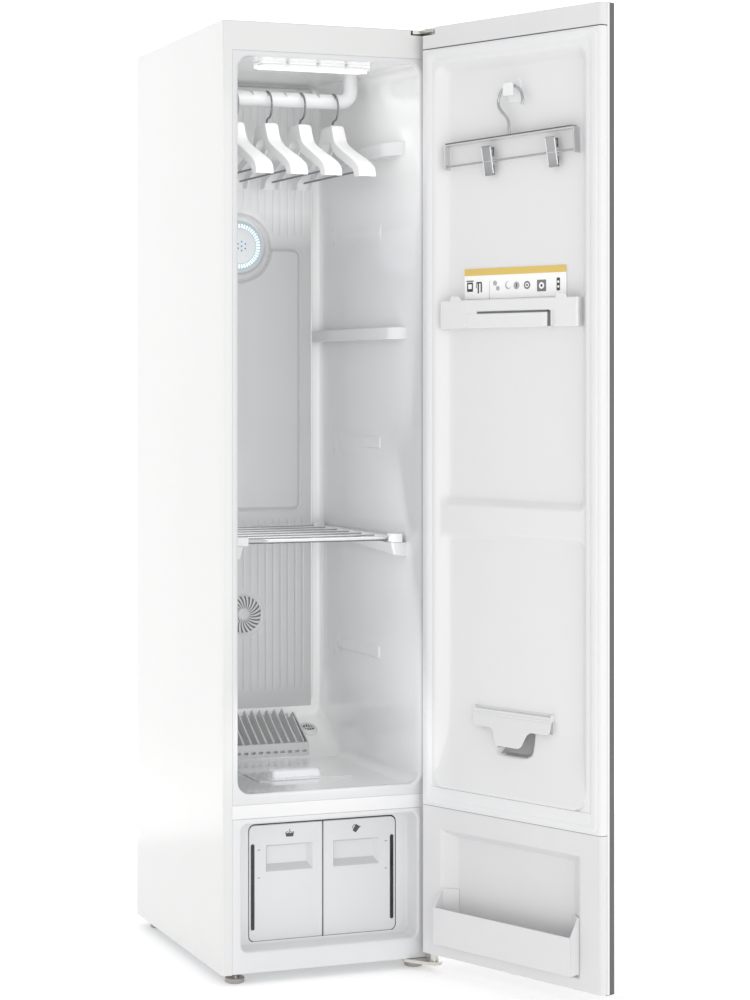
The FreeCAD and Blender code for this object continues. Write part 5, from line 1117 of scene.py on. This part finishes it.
# side walls down to the frame
sv_ = []
for s in (-1, 1):
    sv_.append(sheet_grid([0, 1], dz, lambda a, z, s=s: (np.full_like(z, s * 222.0), -13.0 - 7.0 * a, z), flip=(s > 0)))
sv_.append(sheet_grid(dx, [0, 1], lambda x, a: (x, np.where(a > 0.5, -20.0, door_y(x, np.full_like(x, 1801.6))), np.full_like(x, 1801.6)), flip=True))
sv_.append(sheet_grid(dx, [0, 1], lambda x, a: (x, np.where(a > 0.5, -20.0, door_y(x, np.full_like(x, 328.1))), np.full_like(x, 328.1)), flip=False))
# a dark grey sheet deep in the finger hollow: painted shade
make("finger_hollow", *prism(outline([(-46, 450), (36, 450), (36, 500), (-46, 500)], 18, 6), "xz", -36.6, -35.9), "hollow", "door", space=dor, smooth=None, slot="door_grey")
# a mid-grey strip in the seam between the panels: painted shade
make("panel_seam", *rbox(-217.0, 217.0, -13.0, -6.6, 326.4, 328.6), "seam", "door", space=dor, smooth=None, slot="door_grey")
make("cap_seam_shadow", *join(rbox(-220.6, 221.0, -19.8, -9.5, 1801.4, 1804.2), rbox(-221.2, -218.5, -19.8, -13.2, 1801.4, 1804.2)), "groove", "door", space=dor, smooth=None, slot="door_grey")
make("door_side_trim", *join(rbox(-222.68, -222.3, -26.0, -19.6, 37, 1844.4)), "door", "door", space=dor, smooth=None, slot="door_white")
hol = [i for i, f in enumerate(df) if float(sd_rrect(np.array(sum(dx_[0] for dx_ in [dv[j] for j in f]) / 4.0), np.array(sum(dv[j][2] for j in f) / 4.0), -5, 479, 44, 34, 20)) < -1.2]
panel = make("door_panel", *join((dv, df), *sv_), "door", "door", space=dor, smooth=44, replaces=["door_liner"], slot="door_white")
# the faces in the finger hollow take the darker grey: painted shade
panel.data.materials.append(M["hollow"])
hol = set(hol)
for p in panel.data.polygons:
    if p.index in hol:
        p.material_index = 1

# ------------------------------------------------------------------ lower door panel


def low_y(x, z):
    rx = ramp(170.5 - np.abs(x), 27.0, 1.2)
    rz = ramp(284.5 - z, 14.0, 1.2)
    rb = ramp(z - 61.0, 3.0, 0.8)
    k = 0.05
    m = np.minimum(rx, rz)
    m = m - k * np.exp(-np.abs(rx - rz) / k) * 0.4
    m = np.minimum(np.clip(m, 0, 1), rb)
    return -5.0 - 22.0 * m - edge_drop(x)


lx = lines(-222, 222, 9, near=[(s * c, w, n) for s in (-1, 1) for c, w, n in ((170, 4, 8), (157, 12, 12), (143, 4, 8), (218, 4, 9))])
lz = lines(38.2, 326.9, 9, near=[(284, 4, 8), (277, 6, 8), (270, 4, 8), (62, 4, 10)])
parts = [sheet_grid(lx, lz, lambda x, z: (x, low_y(x, z), z), flip=True)]
for s in (-1, 1):
    parts.append(sheet_grid([0, 1], lz, lambda a, z, s=s: (np.full_like(z, s * 222.0), -13.0 - 7.0 * a, z), flip=(s > 0)))
parts.append(sheet_grid(lx, [0, 1], lambda x, a: (x, np.where(a > 0.5, -20.0, low_y(x, np.full_like(x, 326.9))), np.full_like(x, 326.9)), flip=True))
parts.append(sheet_grid(lx, [0, 1], lambda x, a: (x, np.where(a > 0.5, -20.0, low_y(x, np.full_like(x, 38.2))), np.full_like(x, 38.2)), flip=False))
make("door_lower_panel", *join(*parts), "door_grey", "door", space=dor, smooth=44, replaces=["door_lower_liner"], slot="door_grey")

# bin: a front wall, two sloping sides and wings that follow the recess
wall = outline([(-168.4, 67), (168.4, 67), (168.4, 138), (-168.4, 138)], [5, 5, 1.2, 1.2], 5)
sidep = [(-7, 67), (17.8, 67), (19.8, 69.5), (19.8, 137), (18.4, 138.6), (-3.6, 171), (-7, 171)]
bp = [prism(wall, "xz", 17.4, 20.0)]
for s in (-1, 1):
    x0, x1 = sorted((s * 165.8, s * 168.4))
    bp.append(prism(sidep, "yz", x0, x1))
    wing = [(s * 168.2, -5.4), (s * 166.4, -7.6), (s * 143.4, -26.4), (s * 141.4, -26.6), (s * 140.0, -24.6), (s * 165.0, -4.4)]
    bp.append(prism(wing, "xy", 67.4, 171))
bp.append(prism([(-168, 19), (168, 19), (168, -6.6), (142, -26.8), (-142, -26.8), (-168, -6.6)], "xy", 67, 69.6))
make("bin_walls", *join(*bp), "door_grey", "door", space=dor, bevel=(0.9, 3, 40), replaces=["door_bin"], slot="door_grey")

# ------------------------------------------------------------------ seal, a soft ring on the frame
gr = []
for o, y in ((0.0, -5.2), (0.15, -4.4), (0.8, -3.4), (2.4, -2.7), (5.5, -2.4), (10.0, -2.5), (13.5, -3.1), (16.0, -4.1), (17.2, -4.9), (17.4, -5.2)):
    gr.append(rrect(-211.5 + o, 211.5 - o, 331.5 + o, 1800.0 - o, 13.5 - o * 0.3, seg=8, sides=(6, 12, 6, 12), y=y))
sk = rbox(-199, 199, -12.0, -2.9, 338.0, 366.4)
make("door_seal_fill", *sk, "seal", "door", space=dor, bevel=(1.2, 3, 40), slot="seal_white")
make("door_seal", *loft(gr, flip=True), "seal", "door", space=dor, smooth=50, replaces=["door_gasket"], slot="seal_white")

# ------------------------------------------------------------------ guide holder on the door


def bar_y(x, z):
    e = -sd_rrect(x, z, 0, 1283, 168.5, 27.2, 3.5)
    t = np.clip(1 - e / 2.6, 0, 1)
    y = -0.2 - 2.6 * (1 - np.sqrt(np.clip(1 - t * t, 0, 1)))
    # inner panel with a shadow gap over it and down its free side
    g1 = np.abs(z - 1285.6) - 1.6
    g1 = np.maximum(g1, np.abs(x + 13.5) - 88.0)
    g2 = np.maximum(np.abs(x + 100.6) - 3.4, np.abs(z - 1271.5) - 14.0)
    g = np.minimum(g1, g2)
    y = y - 15.0 * sstep((0.9 - g) / 0.9)
    g3 = np.maximum(np.abs(x - 101.0) - 0.5, np.abs(z - 1272) - 15.0)
    y = y - 0.9 * sstep((0.8 - g3) / 1.2)
    p = np.maximum(np.abs(x) - 100.0, np.abs(z - 1270.0) - 15.0)
    y = y + 0.5 * sstep((0.4 - p) / 1.4) * (g > 0.4)
    return x, y, z


bx = lines(-168.5, 168.5, 8, near=[(s * c, w, n) for s in (-1, 1) for c, w, n in ((166, 2.5, 8), (100.5, 4, 14))] + [(-13.5 - 88, 3, 8), (74.5, 3, 8)])
bz_ = lines(1255.8, 1310.2, 6, near=[(1258, 2.5, 8), (1308, 2.5, 8), (1285.6, 3.4, 14)])
front_v, front_f = sheet_grid(bx, bz_, bar_y, flip=True)
hb = [(front_v, front_f)]
wedge_l = [(1256, -24.8), (1310, -24.8), (1310, -2.8), (1256, -2.8)]
for s in (-1, 1):
    o = [(s * 161.6, -24.8), (s * 168.5, -2.6), (s * 166.2, -2.6), (s * 159.4, -24.8)]
    hb.append(prism(o, "xy", 1256.2, 1309.8))
hb.append(prism([(-161, -24.8), (161, -24.8), (168.3, -2.8), (-168.3, -2.8)], "xy", 1255.9, 1258.6))
hb.append(rbox(-166, 166, -5.2, -2.8, 1258, 1310.1))
make("holder_bar", *join(*hb), "door", "door", space=dor, smooth=40, replaces=["holder_pocket"], slot="door_white")
er = []
for a in (-1, 1):
    o = outline([(a * 120 - a * 6, 1308.5), (a * 122, 1318.3), (a * 139, 1318.3), (a * 145, 1308.5)], [2, 3, 3, 2], 4)
    er.append(prism(o, "xz", -3.4, -0.3))
make("holder_gap_shade", *join(rbox(-101.5, 74.6, -2.9, -2.35, 1283.9, 1287.4), rbox(-104.0, -97.2, -2.9, -2.35, 1257.6, 1287.4)), "groove", "door", space=dor, smooth=None, slot="door_white")
make("holder_ears", *join(*er), "door", "door", space=dor, bevel=(0.8, 3, 40), slot="door_white")

# guide card: blank paper with a yellow edge and plain generic pictures
CY = -23.6


def card_piece(name, parts, mat, lift):
    make(name, *join(*[prism(p, "xz", CY + 0.55 + lift - 0.12, CY + 0.55 + lift) for p in parts]), mat, "door", space=dor, smooth=None, slot="door_white")


# the paper glows faintly: painted glow
make("card_sheet", *prism([(-125, 1262), (125, 1262), (125, 1371), (-125, 1371)], "xz", CY, CY + 0.5), "card", "door", space=dor, smooth=None, slot="door_white")
card_piece("card_band", [[(-125, 1357.5), (125, 1357.5), (125, 1371), (-125, 1371)]], "card_band", 0.05)


def rect(cx_, cz_, w, h, r=0.8):
    return outline([(cx_ - w / 2, cz_ - h / 2), (cx_ + w / 2, cz_ - h / 2), (cx_ + w / 2, cz_ + h / 2), (cx_ - w / 2, cz_ + h / 2)], min(r, h * 0.4, w * 0.4), 3)


def disc(cx_, cz_, r, n=28):
    return [(cx_ + r * math.cos(t), cz_ + r * math.sin(t)) for t in np.linspace(0, 2 * math.pi, n, endpoint=False)]


dark = [rect(111, 1336, 15, 18), rect(111, 1347.5, 18, 2.2, 0.5), rect(88, 1344, 14, 3.0), rect(82.5, 1334, 3.4, 17), rect(90, 1333, 3.4, 19), rect(-106, 1335.5, 8, 24, 0.6)]
grey = [rect(-66, 1334, 22, 22, 1.5), disc(-31, 1336, 7.8), rect(94.5, 1338, 2.2, 9, 0.4)]
light = [disc(48, 1342, 5.0), disc(41, 1332, 4.6), disc(15.5, 1337, 7.4), disc(-5, 1336, 7.4)]
card_piece("card_prints_dark", dark, "card_print", 0.10)
card_piece("card_prints_grey", grey, "card_grey", 0.10)
card_piece("card_prints_light", light, "card_light", 0.10)
card_piece("card_prints_top", [rect(111, 1337, 9, 9), disc(-66, 1334, 6.2), disc(-31, 1336, 4.4), disc(13.5, 1338, 6.0), rect(-106, 1340, 4.6, 4), rect(-106, 1331, 4.6, 4)], "card", 0.16)
card_piece("card_prints_core", [disc(-31, 1336, 2.2), disc(-66, 1334, 2.6), rect(-5, 1336, 2.0, 8, 0.4)], "card_print", 0.22)
card_piece("card_fold_line", [rect(62, 1329, 0.6, 36, 0.1), rect(0, 1312.5, 246, 0.6, 0.1)], "card_grey", 0.08)

# ------------------------------------------------------------------ hook on the door
o = outline([(-12.6, 1693.5), (12.6, 1693.5), (12.6, 1718.5), (-12.6, 1718.5)], [4, 4, 6, 6], 5)
neck = outline([(-7.5, 1697.2), (7.5, 1697.2), (3.0, 1710.9), (-3.0, 1710.9)], [2.0, 2.0, 1.4, 1.4], 4)
baseo = outline([(-16, 1682), (16, 1682), (16, 1728), (-16, 1728)], 8, 6)
make("hook_base", *prism(baseo, "xz", -26.5, -22.4), "hook", "door", space=dor, bevel=(1.6, 4, 40), replaces=["door_hook"], slot="door_white")
make("hook_arm", *prism(neck, "xz", -23, -6), "hook", "door", space=dor, smooth=40, slot="door_white")
make("hook_tip", *prism(o, "xz", -7.0, -2.6), "hook", "door", space=dor, bevel=(1.9, 5, 40), slot="door_white")

# ------------------------------------------------------------------ hem clamp
b0 = outline([(-94, 496), (94, 496), (94, 533.5), (-94, 533.5)], 5, 5)
make("clamp_base_plate", *join(prism(b0, "xz", -28, -22.6), prism(outline([(-96.4, 520.5), (-93.4, 520.5), (-93.4, 534), (-96.4, 534)], 1, 2), "xz", -28, -15.5),
                               prism(outline([(93.4, 520.5), (96.4, 520.5), (96.4, 534), (93.4, 534)], 1, 2), "xz", -28, -15.5)), "flap", "door", space=dor, bevel=(0.9, 3, 40),
     replaces=["hem_clamp_base"], slot="door_grey")
T2 = outline([(-95, 1.5), (95, 1.5), (95, -31.5), (50, -32.0), (42, -37), (31, -64.5), (-29.5, -64.5), (-41, -37), (-49, -32.0), (-95, -31.5)],
             [3, 3, 9, 6, 9, 11, 11, 9, 6, 9], 6)
TA = math.radians(12.8)


def flap_at(v):
    v = np.asarray(v, float).reshape(-1, 3)
    y, z = v[:, 1], v[:, 2]
    return dor(np.stack([v[:, 0], -18.0 + y * math.cos(TA) - z * math.sin(TA), 527.0 + y * math.sin(TA) + z * math.cos(TA)], 1))


make("clamp_flap", *prism(T2, "xz", -1.3, 1.3), "flap", "flap", space=flap_at, bevel=(0.9, 4, 40), replaces=["hem_clamp_flap"], slot="door_grey")
make("clamp_flap_bead", *join(tube([(-92, 0.6, -6.0), (0, 0.6, -6.0), (92, 0.6, -6.0)], 1.5, 14), tube([(-92, 1.0, -10.5), (0, 1.0, -10.5), (92, 1.0, -10.5)], 0.9, 12)), "flap", "flap", space=flap_at,
     smooth=50, slot="door_grey")
make("clamp_shade", *join(rbox(-94.6, -92.0, -21.6, -16.4, 497, 522), rbox(-92, 92, -21.9, -21.5, 497.5, 512)), "hollow", "door", space=dor, smooth=None, slot="door_grey")
make("clamp_shaft", *tube([(-96.0, 0, 0), (0, 0, 0), (96.0, 0, 0)], 2.0, 16), "flap", "flap", space=flap_at, smooth=50, slot="door_grey")

# ------------------------------------------------------------------ clip hanger
HCZ = 1711.0 + 0.3 - 27.4
HY = -10.5
strip_o = outline([(-154.6, 1569.5), (-154.6, 1620.6), (165.6, 1620.6), (165.6, 1569.5)], [0, 9, 9, 0], 7)
strip_i = outline([(-151.8, 1569.5), (-151.8, 1614.9), (162.8, 1614.9), (162.8, 1569.5)], [0, 4.6, 4.6, 0], 7)
sv2, sf2 = [], []
n = len(strip_o)
for y in (-19.4, -3.6):
    sv2 += [(p[0], y, p[1]) for p in strip_o] + [(p[0], y, p[1]) for p in strip_i]
for i in range(n - 1):
    a, b, c, d = i, i + 1, n + i + 1, n + i
    sf2.append((a, d, c, b))
    sf2.append((2 * n + a, 2 * n + b, 2 * n + c, 2 * n + d))
    sf2.append((a, b, 2 * n + b, 2 * n + a))
    sf2.append((d, 2 * n + d, 2 * n + c, c))
sf2.append((0, 2 * n, 3 * n, n))
sf2.append((n - 1, 2 * n - 1, 4 * n - 1, 3 * n - 1))
make("clip_hanger_strip", sv2, sf2, "steel", "clip_hanger", space=lean, bevel=(1.1, 3, 50), replaces=["clip_hanger_bar"], slot="strip_steel")
# a dark strip along the top edge: painted shade
make("clip_hanger_edge", *rbox(-150, 161, -19.0, -3.35, 1617.9, 1620.75), "strip_dark", "clip_hanger", space=lean, bevel=(0.5, 2, 50), slot="strip_steel")
make("clip_hanger_ends", *join(rbox(-155.0, -153.2, -20.6, -2.9, 1569.4, 1617), rbox(164.2, 166.0, -20.6, -2.9, 1569.4, 1617)), "clip", "clip_hanger", space=lean, bevel=(0.5, 2, 50), slot="strip_steel")
make("clip_hanger_rod", *join(tube([(-153, HY, 1576), (0, HY, 1576), (164, HY, 1576)], 2.0, 16), revolve([(0.3, 165.4), (2.6, 165.8), (3.2, 166.4), (2.6, 167.6), (0.3, 168.0)], (0, HY, 1576), "x", 20)),
     "rod_steel", "clip_hanger", space=lean, smooth=50, slot="strip_steel")
pts = [(-p[0], p[1], p[2]) for p in arc((0, HCZ), 30.0, -20, 186, 46, "xz", HY)]
a_in = np.array(pts[-1])
tg = np.array([math.sin(math.radians(186)), 0, math.cos(math.radians(186))])
pts += bezier(tuple(a_in), tuple(a_in + tg * 16), (5.5, HY, 1658), (5.5, HY, 1640), 18)[1:] + [(5.5, HY, 1634), (5.5, HY, 1628), (5.5, HY, 1619)]
make("clip_hanger_wire", *tube(pts, 2.85, 16), "chrome", "clip_hanger", space=lean, smooth=50, replaces=["clip_hanger_hook"], slot="wire_chrome")


def clip_shape(x):
    back = outline([(x - 10.6, 1549), (x + 10.6, 1549), (x + 10.6, 1603), (x - 10.6, 1603)], [2.4, 2.4, 2.0, 2.0], 4)
    key = outline([(x - 1.7, 1553), (x + 1.7, 1553), (x + 1.7, 1566), (x - 1.7, 1566)], 1.6, 4)
    key_top = [(x + 3.0 * math.cos(t), 1569.0 + 3.0 * math.sin(t)) for t in np.radians(np.linspace(-55, 235, 14))]
    keyhole = [(x - 1.7, 1553), (x + 1.7, 1553)] + key_top + []
    window_ = outline([(x - 6.4, 1583), (x + 6.4, 1583), (x + 6.4, 1599), (x - 6.4, 1599)], 1.4, 3)
    bv = holed(back, [keyhole, window_], "xz", -16.9, -14.7)
    # lever: leans out at the top, jaws closed at the bottom
    lv = prism([(-12.6, 1549.2), (-10.8, 1548.8), (-3.2, 1601.4), (-1.6, 1604.2), (-3.4, 1605.0), (-5.2, 1602.4)], "yz", x - 10.6, x + 10.6)
    ribs_ = [prism([(-12.2, 1552), (-9.8, 1552.6), (-2.2, 1600), (-4.2, 1603)], "yz", x + s * 10.6 - 0.5, x + s * 10.6 + 0.5) for s in (-1, 1)]
    hub = revolve([(3.4, -8.5), (3.7, -8.0), (3.7, 8.0), (3.4, 8.5)], (x, HY, 1576), "x", 24, caps=(True, True))
    ears_ = [prism(outline([(-16, 1568), (-9, 1568), (-7.4, 1576), (-10, 1584), (-16, 1586)], 1.6, 3), "yz", x + s * 8.4 - 0.6, x + s * 8.4 + 0.6) for s in (-1, 1)]
    jaw = prism(outline([(-15.2, 1549), (-11.6, 1549), (-11.0, 1553.5), (-15.2, 1554.6)], 0.6, 2), "yz", x - 10.2, x + 10.2)
    return bv, lv, ribs_, hub, ears_, jaw


for tag, body, x in (("left", "clip_a", 58.0), ("right", "clip_b", -98.0)):
    bv, lv, ribs_, hub, ears_, jaw = clip_shape(x)
    make("clip_%s_back" % tag, *bv, "clip", body, space=lean, bevel=(0.4, 2, 50), replaces=["clip_%s" % tag], slot="clip_chrome")
    make("clip_%s_lever" % tag, *lv, "clip_lever", body, space=lean, bevel=(0.7, 3, 40), slot="clip_chrome")
    # the lever edges in near-white with a faint glow: painted highlight
    make("clip_%s_lever_rims" % tag, *join(*ribs_), "clip_rim", body, space=lean, bevel=(0.2, 2, 50), slot="clip_chrome")
    make("clip_%s_spring" % tag, *join(hub, *ears_), "clip", body, space=lean, bevel=(0.3, 2, 50), slot="clip_chrome")
    make("clip_%s_pads" % tag, *jaw, "black", body, space=lean, bevel=(0.3, 2, 50), slot="clip_chrome")
    coil = []
    for t in np.linspace(0, 5 * 2 * math.pi, 90):
        coil.append((x - 6 + 12 * t / (10 * math.pi), HY + 4.6 * math.cos(t) * 0.9, 1588 + 4.6 * math.sin(t)))
    make("clip_%s_coil" % tag, *tube(coil, 0.7, 8), "rod_steel", body, space=lean, smooth=60, slot="clip_chrome")


# ------------------------------------------------------------------ floor and light
def plain(name, color, rough, spec=0.3):
    m = bpy.data.materials.new(name)
    m.use_nodes = True
    b = m.node_tree.nodes["Principled BSDF"]
    b.inputs["Base Color"].default_value = (*color, 1)
    b.inputs["Roughness"].default_value = rough
    b.inputs["Specular IOR Level"].default_value = spec
    return m


me = bpy.data.meshes.new("studio_floor")
fv, ff = [], []
prof = [(-9.0, 0.0), (3.0, 0.0)] + [(3.0 + 2.2 * math.sin(math.radians(a)), 2.2 - 2.2 * math.cos(math.radians(a))) for a in range(10, 91, 10)] + [(5.2, 7.0)]
for x in (-9.0, 9.0):
    fv += [(x, p[0], p[1]) for p in prof]
n = len(prof)
ff = [(i, i + n, i + n + 1, i + 1) for i in range(n - 1)]
me.from_pydata(fv, [], ff)
me.polygons.foreach_set("use_smooth", [True] * len(me.polygons))
floor = bpy.data.objects.new("studio_floor", me)
bpy.context.scene.collection.objects.link(floor)
floor_mat = plain("floor_pale", (0.96, 0.96, 0.96), 0.75, 0.15)
floor_mat.node_tree.nodes["Principled BSDF"].inputs["Emission Color"].default_value = (1, 1, 1, 1)
floor_mat.node_tree.nodes["Principled BSDF"].inputs["Emission Strength"].default_value = 0.28
# seen from behind, the backdrop lets the view through
fnt = floor_mat.node_tree
geo = fnt.nodes.new("ShaderNodeNewGeometry")
clear = fnt.nodes.new("ShaderNodeBsdfTransparent")
mixer = fnt.nodes.new("ShaderNodeMixShader")
out = fnt.nodes["Material Output"]
fnt.links.new(geo.outputs["Backfacing"], mixer.inputs[0])
fnt.links.new(fnt.nodes["Principled BSDF"].outputs["BSDF"], mixer.inputs[1])
fnt.links.new(clear.outputs["BSDF"], mixer.inputs[2])
fnt.links.new(mixer.outputs["Shader"], out.inputs["Surface"])
me.materials.append(floor_mat)


def area(name, loc, target, w, h, power, color=(1, 1, 1)):
    d = bpy.data.lights.new(name, "AREA")
    d.shape = "RECTANGLE"
    d.size, d.size_y = w, h
    d.energy = power
    d.color = color
    o = bpy.data.objects.new(name, d)
    bpy.context.scene.collection.objects.link(o)
    o.location = loc
    o.rotation_euler = (Vector(target) - Vector(loc)).to_track_quat("-Z", "Y").to_euler()
    return o


area("key_left", (-4.2, -3.4, 1.3), (0.0, 0.0, 0.85), 3.2, 3.0, 1)
area("front_soft", (0.1, -5.8, 1.25), (0.0, 0.0, 0.9), 3.6, 2.4, 46)
area("right_fill", (3.8, -1.2, 1.6), (0.1, -0.2, 0.9), 2.0, 2.4, 6)
area("top_soft", (0.0, -0.6, 4.2), (0.0, 0.0, 1.0), 3.0, 3.0, 6)
area("backdrop_light", (0.4, 1.1, 1.6), (0.4, 5.0, 1.9), 4.0, 2.6, 60)
lamp = area("cavity_lamp", tuple(cab([(0, 90, 1765)])[0]), tuple(cab([(0, 200, 400)])[0]), 0.22, 0.05, 0.10)
area("cavity_fill_low", tuple(cab([(-10, 16, 700)])[0]), tuple(cab([(40, 480, 560)])[0]), 0.33, 0.6, 0.44)
area("cavity_fill_high", tuple(cab([(-10, 16, 1360)])[0]), tuple(cab([(50, 480, 1420)])[0]), 0.33, 0.6, 0.34)
area("cavity_up", tuple(cab([(20, 240, 1728)])[0]), tuple(cab([(20, 240, 1800)])[0]), 0.26, 0.28, 0.045)

world = bpy.data.worlds.new("studio")
bpy.context.scene.world = world
world.use_nodes = True
bg = world.node_tree.nodes["Background"]
bg.inputs["Color"].default_value = (1, 1, 1, 1)
bg.inputs["Strength"].default_value = 0.80
bpy.context.scene.view_settings.view_transform = "Standard"
bpy.context.scene.view_settings.look = "None"
bpy.context.scene.view_settings.exposure = 0.0
